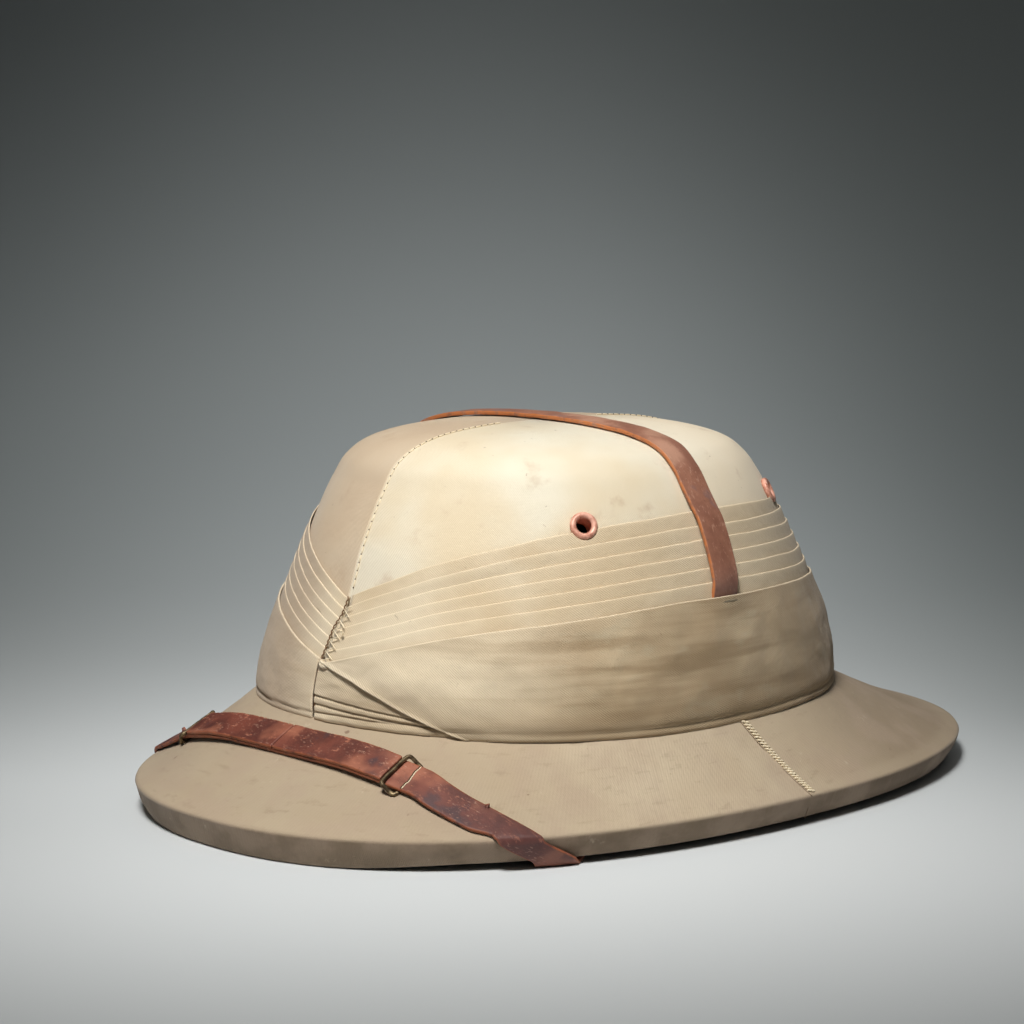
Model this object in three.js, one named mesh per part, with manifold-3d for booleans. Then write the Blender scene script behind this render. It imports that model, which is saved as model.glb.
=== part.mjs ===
// Pith helmet: a hollow pith dome on a sloping brim, a wound cloth puggaree, four painted
// vent eyelets, a leather strap over the crown and a leather chin strap worn over the peak.
// Millimetres, +Z up. The peak points along -Y and the wearer's left is +X. The rim stands on z = 0.
import * as THREE from 'three';
import * as BufferGeometryUtils from 'three/addons/utils/BufferGeometryUtils.js';
import Module from 'manifold-3d';

const wasm = await Module();
wasm.setup();

const GAP = 0.3;                 // clearance between neighbouring pieces
const STEPS_ROUND = 52;          // facets around the helmet
const DEG = Math.PI / 180;

// Crown cloth surface: half-sizes from the crown's own axis towards the front, the side and the
// back at each height, and how square the plan is there (2 is an ellipse).
const CROWN_Y = -7.7;
const CROWN_WALL = 8;
const CROWN_FOOT = 33;
const CROWN_SECTIONS = [
  { z: 26, front: 115.5, side: 100.4, back: 112.5, square: 2.26 },
  { z: 40, front: 114.9, side: 99.7, back: 112.0, square: 2.26 },
  { z: 60, front: 110.3, side: 97.4, back: 108.4, square: 2.22 },
  { z: 84, front: 101.4, side: 93.2, back: 100.4, square: 2.14 },
  { z: 100, front: 95.8, side: 88.8, back: 94.2, square: 2.08 },
  { z: 113, front: 89.6, side: 84.2, back: 87.4, square: 2.08 },
  { z: 122, front: 84.4, side: 79.4, back: 82.0, square: 2.12 },
  { z: 130, front: 79.0, side: 73.6, back: 75.6, square: 2.16 },
  { z: 136, front: 69.5, side: 65.4, back: 67.2, square: 2.16 },
  { z: 140, front: 54.5, side: 49.4, back: 51.4, square: 2.12 },
  { z: 142.2, front: 30.0, side: 25.5, back: 27.5, square: 2.10 },
  { z: 142.8, front: 0, side: 0, back: 0, square: 2.10 },
];

// Brim: half-sizes of its widest line (the crease), and the heights of its section.
const BRIM_Y = 3;
const BRIM_FRONT = 182.6;
const BRIM_BACK = 176.6;
const BRIM_SIDE = 129.8;
const BRIM_SQUARE = 2.26;
const CREASE_Z = 11.8;
const BRIM_TOP_Z = 40;           // where the brim's top surface meets the crown
const COLLAR_UNDER_Z = 27.5;     // underside at the head opening
const EDGE_SLANT = 3.4;          // how far the edge leans in below the crease
const EDGE_CHAMFER = 1.2;
const LAND_WIDTH = 3.4;          // flat of the rim that stands on the table
const RIM_LIFT = 2.4;            // the rim rises clear of the table at the sides
const RIM_REST_TURN = 20;        // degrees each side of front and back that stand flat
const RIM_RAISED_TURN = 46;

// Puggaree: heights of the folded edge of the top pleat and of the wide band, by the turn in
// degrees from the front seam. Both dip into a V at the seam.
const PUGGAREE_EDGES = [
  { turn: 0, pleat: 83.2, band: 60.4 },
  { turn: 6, pleat: 87.8, band: 63.6 },
  { turn: 13, pleat: 92.3, band: 67.2 },
  { turn: 22, pleat: 97.6, band: 71.3 },
  { turn: 33, pleat: 102.6, band: 75.2 },
  { turn: 46, pleat: 107.5, band: 78.4 },
  { turn: 60, pleat: 110.9, band: 81.0 },
  { turn: 75, pleat: 113.3, band: 83.2 },
  { turn: 90, pleat: 114.6, band: 84.3 },
  { turn: 120, pleat: 113.8, band: 83.6 },
  { turn: 150, pleat: 111.8, band: 82.0 },
  { turn: 180, pleat: 110.6, band: 81.0 },
];
const PLEAT_COUNT = 6;
const PLEAT_THICK = 1.0;
const PLEAT_TUCK = 1.5;          // how far a pleat runs on behind the next one
const PLEAT_EDGE_PROUD = 1.25;   // each folded edge stands on the cloth of the ones above it
const PLEAT_EDGE_RISE = 0.45;
const PLEAT_FOOT_RISE = 0.32;
const PLEAT_FLAT_PROUD = 2.05;   // they lie flatter where they come back to the seam
const FLATTER_FROM_TURN = 320;
const FLAT_FROM_TURN = 352;
const SEAM_HALF_TURN = 0.25;     // degrees each side of the front seam left open
const BAND_FOOT_Z = 40.4;
const WRAP_END_TURN = 34;        // the band's folded end runs from the seam down to this turn
const WRAP_TAIL_TURN = 396;      // the under layer ends here, hidden below the outer one
const TAIL_TOP_Z = 57.5;

// Vent eyelets: where they sit on the crown, and their turned section.
const EYELETS = [
  { name: 'eyelet_front_left', turn: 57, z: 111.8 },
  { name: 'eyelet_back_left', turn: 128, z: 115.4 },
  { name: 'eyelet_front_right', turn: -57, z: 111.8 },
  { name: 'eyelet_back_right', turn: -128, z: 115.4 },
];
const VENT_RADIUS = 4.2;
const EYELET_RADIUS = 5.4;
const EYELET_HOLE = 2.8;
const EYELET_BARREL = 3.7;
const EYELET_DEPTH = 6;
const EYELET_HIGH = 2.3;

// Crown strap: a flat leather strap over the crown from side to side.
const STRAP_Y = -9.3;
const STRAP_WIDTH = 12.8;
const STRAP_THICK = 1.6;

// Chin strap over the peak: its middle line on the brim, as a turn from the front and a share of
// the way from the crown (0) to the crease (1), and how far it stands off the brim.
const CHIN_WIDTH = 13;
const CHIN_THICK = 1.3;
const CHIN_LINE = [
  { turn: 0, out: 0.25, clear: 0.7 },
  { turn: 7, out: 0.26, clear: 0.9 },
  { turn: 14, out: 0.285, clear: 1.4 },
  { turn: 20, out: 0.335, clear: 2.0 },
  { turn: 26, out: 0.4, clear: 2.0 },
  { turn: 32, out: 0.485, clear: 2.1 },
  { turn: 35, out: 0.56, clear: 2.4 },
  { turn: 39, out: 0.66, clear: 0.9 },
  { turn: 45, out: 0.825, clear: 0.8 },
];
const CHIN_EDGE_TURN = 51.6;     // where it crosses the crease
const CHIN_UNDER_TURN = 56.4;    // where it passes under the rim
const CHIN_SKEW = 54;            // degrees between the strap and the rim where it crosses
const CHIN_CLEAR = 0.75;
const CHIN_SAG = 5;
const COLLAR_TURN = 64;          // where it turns up inside the crown
const COLLAR_SKEW = 46;          // degrees between the strap and the collar's edge there
const INSIDE_RUN = 26;           // length that lies up the inside of the wall
const WALL_LEAN = 1.2;           // how far the wall leans in over that length
const ANCHOR_RUN = 19;
const SLIDERS = [
  { name: 'slider_left', turn: 26, side: 1 },
  { name: 'slider_right', turn: 30.5, side: -1 },
];
const FOLDS = [
  { name: 'strap_fold_left', from: -0.8, to: 25.2 },
  { name: 'strap_fold_right', from: -29.7, to: -1.2 },
];
const WIRE_RADIUS = 0.7;

const COLOURS = {
  crown: [0xdccfae, 0.85, 0],
  brim: [0xb5a283, 0.85, 0],
  pleat: [0xcdbb97, 0.85, 0],
  band: [0xb7a27c, 0.85, 0],
  eyelet: [0xb5705c, 0.45, 0.2],
  leather: [0x5d3324, 0.55, 0],
  brass: [0x5a4a35, 0.4, 0.8],
};

const helmet = new THREE.Group();

function addPiece(name, geometry, colour) {
  const [color, roughness, metalness] = COLOURS[colour];
  const mesh = new THREE.Mesh(geometry, new THREE.MeshStandardMaterial({ color, roughness, metalness }));
  mesh.name = name;
  helmet.add(mesh);
  return mesh;
}

// ---- shared geometry -------------------------------------------------------------------

// Reads a table whose rows rise in the column `key`, with straight lines between its rows.
function readTable(rows, key, value) {
  const last = rows.length - 1;
  const at = Math.min(Math.max(value, rows[0][key]), rows[last][key]);
  const i = Math.min(rows.findIndex((row, k) => k === last || rows[k + 1][key] >= at), last - 1);
  const share = (at - rows[i][key]) / (rows[i + 1][key] - rows[i][key]);
  const read = {};
  for (const column of Object.keys(rows[0])) {
    read[column] = THREE.MathUtils.lerp(rows[i][column], rows[i + 1][column], share);
  }
  return read;
}

// A point of an egg-shaped plan. Turn 0 is the front (-Y) and 90 the wearer's left (+X).
function planPoint(turn, front, side, back, square, centreY, z) {
  const s = Math.sin(turn * DEG);
  const c = Math.cos(turn * DEG);
  const power = 2 / square;
  const depth = c > 0 ? front : back;
  const x = side * Math.sign(s) * Math.abs(s) ** power;
  const y = centreY - depth * Math.sign(c) * Math.abs(c) ** power;
  return new THREE.Vector3(x, y, z);
}

// A closed solid between two grids of points with the same rows and columns. A ring closes on
// itself along its rows; a dome has its last column drawn together into one point.
function shell(outer, inner, { ring = false, dome = false } = {}) {
  const rows = outer.length;
  const columns = outer[0].length;
  const positions = [...outer.flat(), ...inner.flat()].flatMap((p) => [p.x, p.y, p.z]);
  const out = (i, j) => (i % rows) * columns + j;
  const into = (i, j) => rows * columns + out(i, j);
  const index = [];
  const quad = (a, b, c, d) => index.push(a, b, c, a, c, d);
  const spans = ring ? rows : rows - 1;
  for (let i = 0; i < spans; i += 1) {
    for (let j = 0; j < columns - 1; j += 1) {
      quad(out(i, j), out(i + 1, j), out(i + 1, j + 1), out(i, j + 1));
      quad(into(i, j), into(i, j + 1), into(i + 1, j + 1), into(i + 1, j));
    }
    quad(into(i, 0), into(i + 1, 0), out(i + 1, 0), out(i, 0));
    if (!dome) {
      const j = columns - 1;
      quad(out(i, j), out(i + 1, j), into(i + 1, j), into(i, j));
    }
  }
  if (!ring) {
    const i = rows - 1;
    for (let j = 0; j < columns - 1; j += 1) {
      quad(into(0, j), out(0, j), out(0, j + 1), into(0, j + 1));
      quad(out(i, j), into(i, j), into(i, j + 1), out(i, j + 1));
    }
  }
  return closedGeometry(positions, index);
}

// Merges equal corners, drops the flat triangles that this leaves and turns the faces outwards.
function closedGeometry(positions, index) {
  let geometry = new THREE.BufferGeometry();
  geometry.setAttribute('position', new THREE.Float32BufferAttribute(positions, 3));
  geometry.setIndex(index);
  geometry = BufferGeometryUtils.mergeVertices(geometry, 1e-4);
  const corners = geometry.getIndex().array;
  const p = geometry.getAttribute('position');
  const kept = [];
  let volume = 0;
  for (let k = 0; k < corners.length; k += 3) {
    const [a, b, c] = [corners[k], corners[k + 1], corners[k + 2]];
    if (a === b || b === c || c === a) continue;
    kept.push(a, b, c);
    const [u, v, w] = [a, b, c].map((n) => new THREE.Vector3().fromBufferAttribute(p, n));
    volume += u.dot(v.cross(w));
  }
  geometry.setIndex(volume < 0 ? kept.reverse() : kept);
  return geometry;
}

function toSolid(geometry) {
  const bare = geometry.clone();
  bare.deleteAttribute('normal');
  bare.deleteAttribute('uv');
  const merged = BufferGeometryUtils.mergeVertices(bare, 1e-4);
  return new wasm.Manifold(new wasm.Mesh({
    numProp: 3,
    vertProperties: new Float32Array(merged.getAttribute('position').array),
    triVerts: new Uint32Array(merged.getIndex().array),
  }));
}

function fromSolid(solid) {
  const mesh = solid.getMesh();
  return closedGeometry([...mesh.vertProperties], [...mesh.triVerts]);
}

const mirrorX = (v) => new THREE.Vector3(-v.x, v.y, v.z);

// ---- crown -----------------------------------------------------------------------------

// A point standing `proud` of the crown cloth, square to the wall in plan.
function onCrown(turn, z, proud = 0) {
  const { front, side, back, square } = readTable(CROWN_SECTIONS, 'z', z);
  return planPoint(turn, front + proud, side + proud, back + proud, square, CROWN_Y, z);
}

function crownNormal(turn, z) {
  const step = 0.5;
  const along = onCrown(turn + step, z).sub(onCrown(turn - step, z));
  const up = onCrown(turn, z + step).sub(onCrown(turn, z - step));
  return along.cross(up).normalize();
}

// The inner face of the wall follows the side profile, one wall thickness in along its normal.
function crownWallSection(section, k, sections) {
  const below = sections[Math.max(k - 1, 0)];
  const above = sections[Math.min(k + 1, sections.length - 1)];
  const slope = new THREE.Vector2(above.z - below.z, below.side - above.side).normalize();
  const apex = section.side === 0;
  const inward = apex ? 0 : CROWN_WALL * slope.x;
  const down = apex ? CROWN_WALL : CROWN_WALL * slope.y;
  const floor = k === 0 ? section.z : section.z - down;
  return {
    z: floor,
    front: Math.max(section.front - inward, 0),
    side: Math.max(section.side - inward, 0),
    back: Math.max(section.back - inward, 0),
    square: section.square,
  };
}

function crownGeometry() {
  const foot = readTable(CROWN_SECTIONS, 'z', CROWN_FOOT);
  const sections = [foot, ...CROWN_SECTIONS.filter((row) => row.z > CROWN_FOOT)];
  const ringOf = (rows) => Array.from({ length: STEPS_ROUND }, (_, i) => rows.map((row) => planPoint(
    (360 * i) / STEPS_ROUND, row.front, row.side, row.back, row.square, CROWN_Y, row.z)));
  return shell(ringOf(sections), ringOf(sections.map(crownWallSection)), { ring: true, dome: true });
}

// A round cutter or turned piece made along +Y, set on the crown with +Y pointing out of it.
function setOnCrown(geometry, turn, z) {
  const outwards = crownNormal(turn, z);
  const turnTo = new THREE.Quaternion().setFromUnitVectors(new THREE.Vector3(0, 1, 0), outwards);
  const place = onCrown(turn, z);
  return geometry.clone().applyQuaternion(turnTo).translate(place.x, place.y, place.z);
}

function drilled(geometry, radius, length) {
  let solid = toSolid(geometry);
  for (const { turn, z } of EYELETS) {
    const drill = setOnCrown(new THREE.CylinderGeometry(radius, radius, length, 14), turn, z);
    solid = solid.subtract(toSolid(drill));
  }
  return fromSolid(solid);
}

addPiece('crown', drilled(crownGeometry(), VENT_RADIUS, 4 * CROWN_WALL), 'crown');

// ---- brim ------------------------------------------------------------------------------

// The widest line of the brim, or a line `inset` mm inside it, at height z.
function brimLine(turn, inset, z) {
  return planPoint(turn, BRIM_FRONT - inset, BRIM_SIDE - inset, BRIM_BACK - inset, BRIM_SQUARE,
    BRIM_Y, z);
}

function rimHeight(turn) {
  const fromEnds = Math.asin(Math.abs(Math.sin(turn * DEG))) / DEG;
  return RIM_LIFT * THREE.MathUtils.smoothstep(fromEnds, RIM_REST_TURN, RIM_RAISED_TURN);
}

// The top surface from the crown (out = 0) to the crease (out = 1), sagging a little between.
function onBrim(turn, out) {
  const sag = 1.6 * Math.sin(Math.PI * out);
  const top = onCrown(turn, BRIM_TOP_Z, GAP);
  const point = top.lerp(brimLine(turn, 0, CREASE_Z), out);
  point.z -= sag;
  return point;
}

function brimNormal(turn, out) {
  const step = 0.01;
  const along = onBrim(turn + 1, out).sub(onBrim(turn - 1, out));
  const outwards = onBrim(turn, out + step).sub(onBrim(turn, out - step));
  return outwards.cross(along).normalize();
}

function brimGeometry() {
  const outer = [];
  const inner = [];
  const rimInset = EDGE_SLANT + EDGE_CHAMFER;
  for (let i = 0; i < STEPS_ROUND; i += 1) {
    const turn = (360 * i) / STEPS_ROUND;
    const rim = rimHeight(turn);
    const collarTop = CROWN_FOOT - GAP;
    const collar = onCrown(turn, collarTop, -CROWN_WALL);
    const landEdge = brimLine(turn, rimInset + LAND_WIDTH, rim);
    const underEdge = brimLine(turn, rimInset + LAND_WIDTH + 8, rim + 5.6);
    const collarUnder = new THREE.Vector3(collar.x, collar.y, COLLAR_UNDER_Z);
    outer.push([
      collar,
      onCrown(turn, collarTop, GAP),
      onBrim(turn, 0),
      onBrim(turn, 0.5),
      onBrim(turn, 0.97),
      brimLine(turn, 0, CREASE_Z - 0.6),
      brimLine(turn, EDGE_SLANT, rim + EDGE_CHAMFER),
      brimLine(turn, rimInset, rim),
    ]);
    inner.push([
      collarUnder,
      ...[0.2, 0.4, 0.6, 0.8].map((share) => collarUnder.clone().lerp(underEdge, share)),
      underEdge,
      underEdge.clone().lerp(landEdge, 0.5),
      landEdge,
    ]);
  }
  return shell(outer, inner, { ring: true });
}

addPiece('brim', brimGeometry(), 'brim');

// ---- puggaree --------------------------------------------------------------------------

// The same heights serve both sides of the helmet.
function edgeHeights(turn) {
  const wrapped = THREE.MathUtils.euclideanModulo(turn + 180, 360) - 180;
  return readTable(PUGGAREE_EDGES, 'turn', Math.abs(wrapped));
}

// Height of folded edge k: 0 is the top pleat and PLEAT_COUNT the wide band.
function foldHeight(turn, k) {
  const { pleat, band } = edgeHeights(turn);
  return THREE.MathUtils.lerp(pleat, band, k / PLEAT_COUNT);
}

// How far the inner face of pleat k stands from the crown cloth at its folded edge and its foot.
function pleatProud(k, turn) {
  const flat = THREE.MathUtils.smoothstep(turn, FLATTER_FROM_TURN, FLAT_FROM_TURN);
  const edge = THREE.MathUtils.lerp(PLEAT_EDGE_PROUD + k * PLEAT_EDGE_RISE, PLEAT_FLAT_PROUD, flat);
  return { edge: k === 0 ? GAP : edge, foot: GAP + k * PLEAT_FOOT_RISE * (1 - flat) };
}

function pleatGeometry(k) {
  const outer = [];
  const inner = [];
  for (let i = 0; i <= STEPS_ROUND; i += 1) {
    const turn = THREE.MathUtils.lerp(SEAM_HALF_TURN, 360 - SEAM_HALF_TURN, i / STEPS_ROUND);
    const top = foldHeight(turn, k);
    const foot = foldHeight(turn, k + 1) - PLEAT_TUCK;
    const proud = pleatProud(k, turn);
    const face = (rise) => [onCrown(turn, foot, proud.foot + rise), onCrown(turn, top, proud.edge + rise)];
    outer.push(face(PLEAT_THICK));
    inner.push(face(0));
  }
  return shell(outer, inner);
}

for (let k = 0; k < PLEAT_COUNT; k += 1) {
  const pleat = pleatGeometry(k);
  const meetsEyelets = k < 2;
  addPiece(`pleat_${k + 1}`, meetsEyelets ? drilled(pleat, EYELET_RADIUS + 0.5, 4 * CROWN_WALL) : pleat,
    'pleat');
}

// Section of the wide band, from its foot (height 0) to its folded edge (height 1): how far its
// two faces stand from the crown where it starts on the outside at the front, on its way round
// the back, and where it comes to the seam again and runs on below its own start.
const BAND_SECTION = [
  { height: 0, startIn: 3.5, startOut: 5.4, backIn: 0.8, backOut: 4.6, tailIn: 0.4, tailOut: 3.1 },
  { height: 0.35, startIn: 3.5, startOut: 5.8, backIn: 0.8, backOut: 5.0, tailIn: 0.4, tailOut: 3.1 },
  { height: 0.7, startIn: 3.7, startOut: 5.8, backIn: 2.0, backOut: 5.0, tailIn: 0.8, tailOut: 3.1 },
  { height: 1, startIn: 4.1, startOut: 5.3, backIn: 4.1, backOut: 5.3, tailIn: 2.1, tailOut: 3.2 },
];
const BAND_STEPS = STEPS_ROUND + 6;

// The band is one strip wound a little over one turn. Its outer end is folded on a slant from the
// seam down to the brim; its other end runs on below the outer layer.
function bandGeometry() {
  const outer = [];
  const inner = [];
  for (let i = 0; i <= BAND_STEPS; i += 1) {
    const outerRow = [];
    const innerRow = [];
    for (const row of BAND_SECTION) {
      const start = WRAP_END_TURN * (1 - row.height) - 1;
      const turn = THREE.MathUtils.lerp(start, WRAP_TAIL_TURN, i / BAND_STEPS);
      const settled = THREE.MathUtils.smoothstep(turn, 45, 80);
      const tail = THREE.MathUtils.smoothstep(turn, FLATTER_FROM_TURN, FLAT_FROM_TURN);
      const edge = turn > 360 ? TAIL_TOP_Z : edgeHeights(turn).band;
      const z = THREE.MathUtils.lerp(BAND_FOOT_Z, edge, row.height);
      const onWayIn = THREE.MathUtils.lerp(row.startIn, row.backIn, settled);
      const onWayOut = THREE.MathUtils.lerp(row.startOut, row.backOut, settled);
      innerRow.push(onCrown(turn, z, THREE.MathUtils.lerp(onWayIn, row.tailIn, tail)));
      outerRow.push(onCrown(turn, z, THREE.MathUtils.lerp(onWayOut, row.tailOut, tail)));
    }
    outer.push(outerRow);
    inner.push(innerRow);
  }
  return shell(outer, inner);
}

addPiece('puggaree_band', bandGeometry(), 'band');

// ---- eyelets ---------------------------------------------------------------------------

function eyeletGeometry() {
  const rim = EYELET_RADIUS;
  const profile = [
    [EYELET_HOLE, -EYELET_DEPTH],
    [EYELET_BARREL, -EYELET_DEPTH],
    [EYELET_BARREL, GAP],
    [rim - 0.5, GAP],
    [rim, 1.1],
    [rim - 0.6, 2.0],
    [rim - 1.5, EYELET_HIGH],
    [EYELET_HOLE + 0.3, 1.8],
    [EYELET_HOLE, 0.9],
    [EYELET_HOLE, -EYELET_DEPTH],
  ].map(([r, h]) => new THREE.Vector2(r, h));
  const turned = new THREE.LatheGeometry(profile, 12);
  turned.deleteAttribute('normal');
  turned.deleteAttribute('uv');
  return closedGeometry([...turned.getAttribute('position').array], [...turned.getIndex().array]);
}

for (const { name, turn, z } of EYELETS) {
  addPiece(name, setOnCrown(eyeletGeometry(), turn, z), 'eyelet');
}

// ---- crown strap -----------------------------------------------------------------------

// Half the crown's width at height z, measured across it in the plane y.
function crownHalfWidth(z, y) {
  const { front, side, back, square } = readTable(CROWN_SECTIONS, 'z', z);
  const ahead = CROWN_Y - y;
  const share = Math.abs(ahead / (ahead > 0 ? front : back));
  return side * (1 - share ** square) ** (1 / square);
}

function crownTopAcross(y) {
  const { z, front } = CROWN_SECTIONS.at(-2);
  const apex = CROWN_SECTIONS.at(-1).z;
  return THREE.MathUtils.lerp(apex, z, Math.abs(CROWN_Y - y) / front);
}

// It lies on the cloth at the top and over the pleats' folded edges lower down.
const STRAP_HEIGHTS = [
  { z: 83.4, proud: 4.9 },
  { z: 92, proud: 4.6 },
  { z: 100, proud: 4.1 },
  { z: 106, proud: 3.6 },
  { z: 110.5, proud: 3.1 },
  { z: 116, proud: 1.2 },
  { z: 122, proud: 0.5 },
  { z: 130, proud: 0.5 },
  { z: 136, proud: 0.5 },
  { z: 140, proud: 0.5 },
  { z: 142.2, proud: 0.5 },
];

// The line that the strap follows in the plane y, from the left foot over to the right one.
function strapLine(y) {
  const left = STRAP_HEIGHTS.map(({ z, proud }) => ({
    place: new THREE.Vector3(crownHalfWidth(z, y), y, z), proud,
  }));
  const middle = { place: new THREE.Vector3(0, y, crownTopAcross(y)), proud: 0.5 };
  const right = left.map(({ place, proud }) => ({ place: mirrorX(place), proud })).reverse();
  return [...left, middle, ...right];
}

function crownStrapGeometry() {
  const edges = [STRAP_Y - STRAP_WIDTH / 2, STRAP_Y + STRAP_WIDTH / 2].map(strapLine);
  const face = (height) => edges[0].map((_, i) => edges.map((line) => {
    const { place, proud } = line[i];
    const before = line[Math.max(i - 1, 0)].place;
    const after = line[Math.min(i + 1, line.length - 1)].place;
    const along = after.clone().sub(before);
    const normal = new THREE.Vector3(along.z, 0, -along.x).normalize();
    return place.clone().addScaledVector(normal, proud + height);
  }));
  return shell(face(STRAP_THICK), face(0));
}

addPiece('crown_strap', crownStrapGeometry(), 'leather');

// ---- chin strap ------------------------------------------------------------------------

// One place along the strap's left half: its middle on the brim, half its width as a vector,
// the way out of the brim and how far it stands off.
function chinOnTop(turn) {
  const { out, clear } = readTable(CHIN_LINE, 'turn', Math.abs(turn));
  const normal = brimNormal(turn, out);
  const before = readTable(CHIN_LINE, 'turn', Math.abs(turn - 1));
  const after = readTable(CHIN_LINE, 'turn', Math.abs(turn + 1));
  const along = onBrim(turn + 1, after.out).sub(onBrim(turn - 1, before.out)).normalize();
  const across = normal.clone().cross(along).normalize().multiplyScalar(CHIN_WIDTH / 2);
  return { middle: onBrim(turn, out), along, across, normal, clear };
}

// Where the strap folds over a line of the rim, it crosses on a skew, so its width lies along it.
function chinOnRim(turn, inset, z, outwards, down) {
  const along = brimLine(turn + 1, inset, z).sub(brimLine(turn - 1, inset, z)).normalize();
  const radial = new THREE.Vector3(along.y, -along.x, 0);
  const normal = radial.multiplyScalar(outwards).add(new THREE.Vector3(0, 0, -down)).normalize();
  const across = along.multiplyScalar(CHIN_WIDTH / 2 / Math.sin(CHIN_SKEW * DEG));
  return { middle: brimLine(turn, inset, z), across, normal, clear: CHIN_CLEAR };
}

// The hidden stretch goes straight to the collar's edge, turns up over it on a skew and lies
// slantwise on the inside of the wall. `run` is how far it has gone up the wall.
function chinInside(run, clear) {
  const rise = run * Math.sin(COLLAR_SKEW * DEG);
  const around = run * Math.cos(COLLAR_SKEW * DEG);
  const turn = COLLAR_TURN + around / onCrown(COLLAR_TURN, CROWN_FOOT).length() / DEG;
  const z = COLLAR_UNDER_Z + rise;
  const place = (at) => onCrown(at, Math.max(z, CROWN_FOOT), -CROWN_WALL).setZ(z);
  const round = place(turn + 1).sub(place(turn - 1)).normalize();
  const inward = new THREE.Vector3(-round.y, round.x, 0);
  const along = round.clone().multiplyScalar(Math.cos(COLLAR_SKEW * DEG));
  along.z = Math.sin(COLLAR_SKEW * DEG);
  const onEdge = round.clone().multiplyScalar(CHIN_WIDTH / 2 / Math.sin(COLLAR_SKEW * DEG));
  const onWall = inward.clone().cross(along).multiplyScalar(CHIN_WIDTH / 2);
  return { middle: place(turn), across: run === 0 ? onEdge : onWall, normal: inward, clear };
}

// Half-way along its hidden stretch the strap hangs a little below the brim.
function chinHanging(from, to) {
  const middle = from.middle.clone().lerp(to.middle, 0.5);
  middle.z -= CHIN_SAG;
  const along = to.middle.clone().sub(from.middle).setZ(0).normalize();
  const across = new THREE.Vector3(along.y, -along.x, 0).multiplyScalar(CHIN_WIDTH / 2);
  return { middle, across, normal: new THREE.Vector3(0, 0, -1), clear: CHIN_CLEAR };
}

function chinHalf() {
  const rim = rimHeight(CHIN_UNDER_TURN);
  const rimInset = EDGE_SLANT + EDGE_CHAMFER;
  const edges = [
    chinOnRim(CHIN_EDGE_TURN, 0, CREASE_Z, 1, -0.75),
    chinOnRim(CHIN_EDGE_TURN + 0.6, 0, CREASE_Z - 1.4, 1, 0.1),
    chinOnRim(CHIN_UNDER_TURN, EDGE_SLANT, rim + EDGE_CHAMFER, 1, 0.5),
    chinOnRim(CHIN_UNDER_TURN + 0.6, rimInset, rim, 0.35, 1),
    chinOnRim(CHIN_UNDER_TURN + 1.6, rimInset + LAND_WIDTH, rim, -0.3, 1),
  ];
  const inside = [0, 0.5, 1].map((share) => chinInside(
    share * INSIDE_RUN, CHIN_CLEAR + share * WALL_LEAN));
  const onTop = [];
  for (let turn = 2; turn <= 46; turn += 4) {
    onTop.push(chinOnTop(turn));
  }
  return [...onTop, ...edges, chinHanging(edges.at(-1), inside[0]), ...inside];
}

// The right half is the left one mirrored, taken the other way along.
function mirrored(stop) {
  return {
    middle: mirrorX(stop.middle),
    across: mirrorX(stop.across),
    normal: mirrorX(stop.normal),
    clear: stop.clear,
  };
}

function ribbon(stops, rise, thick) {
  const face = (stop, height) => [-1, 1].map((edge) => stop.middle.clone()
    .addScaledVector(stop.across, edge)
    .addScaledVector(stop.normal, stop.clear + height));
  return shell(stops.map((stop) => face(stop, rise + thick)), stops.map((stop) => face(stop, rise)));
}

const leftHalf = chinHalf();
const wholeStrap = [...leftHalf.map(mirrored).reverse(), ...leftHalf];
addPiece('chin_strap', ribbon(wholeStrap, 0, CHIN_THICK), 'leather');

// Between the sliders the strap is folded back on itself in a second layer.
for (const { name, from, to } of FOLDS) {
  const steps = 8;
  const stops = Array.from({ length: steps + 1 }, (_, i) => chinOnTop(
    THREE.MathUtils.lerp(from, to, i / steps)));
  addPiece(name, ribbon(stops, CHIN_THICK + GAP, CHIN_THICK), 'leather');
}

// A closed wire through the given corners, with a round section.
function wireLoop(corners, radius) {
  const sides = 8;
  const count = corners.length;
  const centre = corners.reduce((sum, p) => sum.add(p), new THREE.Vector3()).divideScalar(count);
  const plane = corners[0].clone().sub(centre).cross(corners[1].clone().sub(centre)).normalize();
  const positions = [];
  const index = [];
  for (let i = 0; i < count; i += 1) {
    const before = corners[(i + count - 1) % count];
    const after = corners[(i + 1) % count];
    const outwards = after.clone().sub(before).cross(plane).normalize();
    for (let j = 0; j < sides; j += 1) {
      const angle = (2 * Math.PI * j) / sides;
      const p = corners[i].clone()
        .addScaledVector(outwards, radius * Math.cos(angle))
        .addScaledVector(plane, radius * Math.sin(angle));
      positions.push(p.x, p.y, p.z);
      const next = (j + 1) % sides;
      const [a, b] = [i * sides, ((i + 1) % count) * sides];
      index.push(a + j, b + j, b + next, a + j, b + next, a + next);
    }
  }
  return closedGeometry(positions, index);
}

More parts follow.
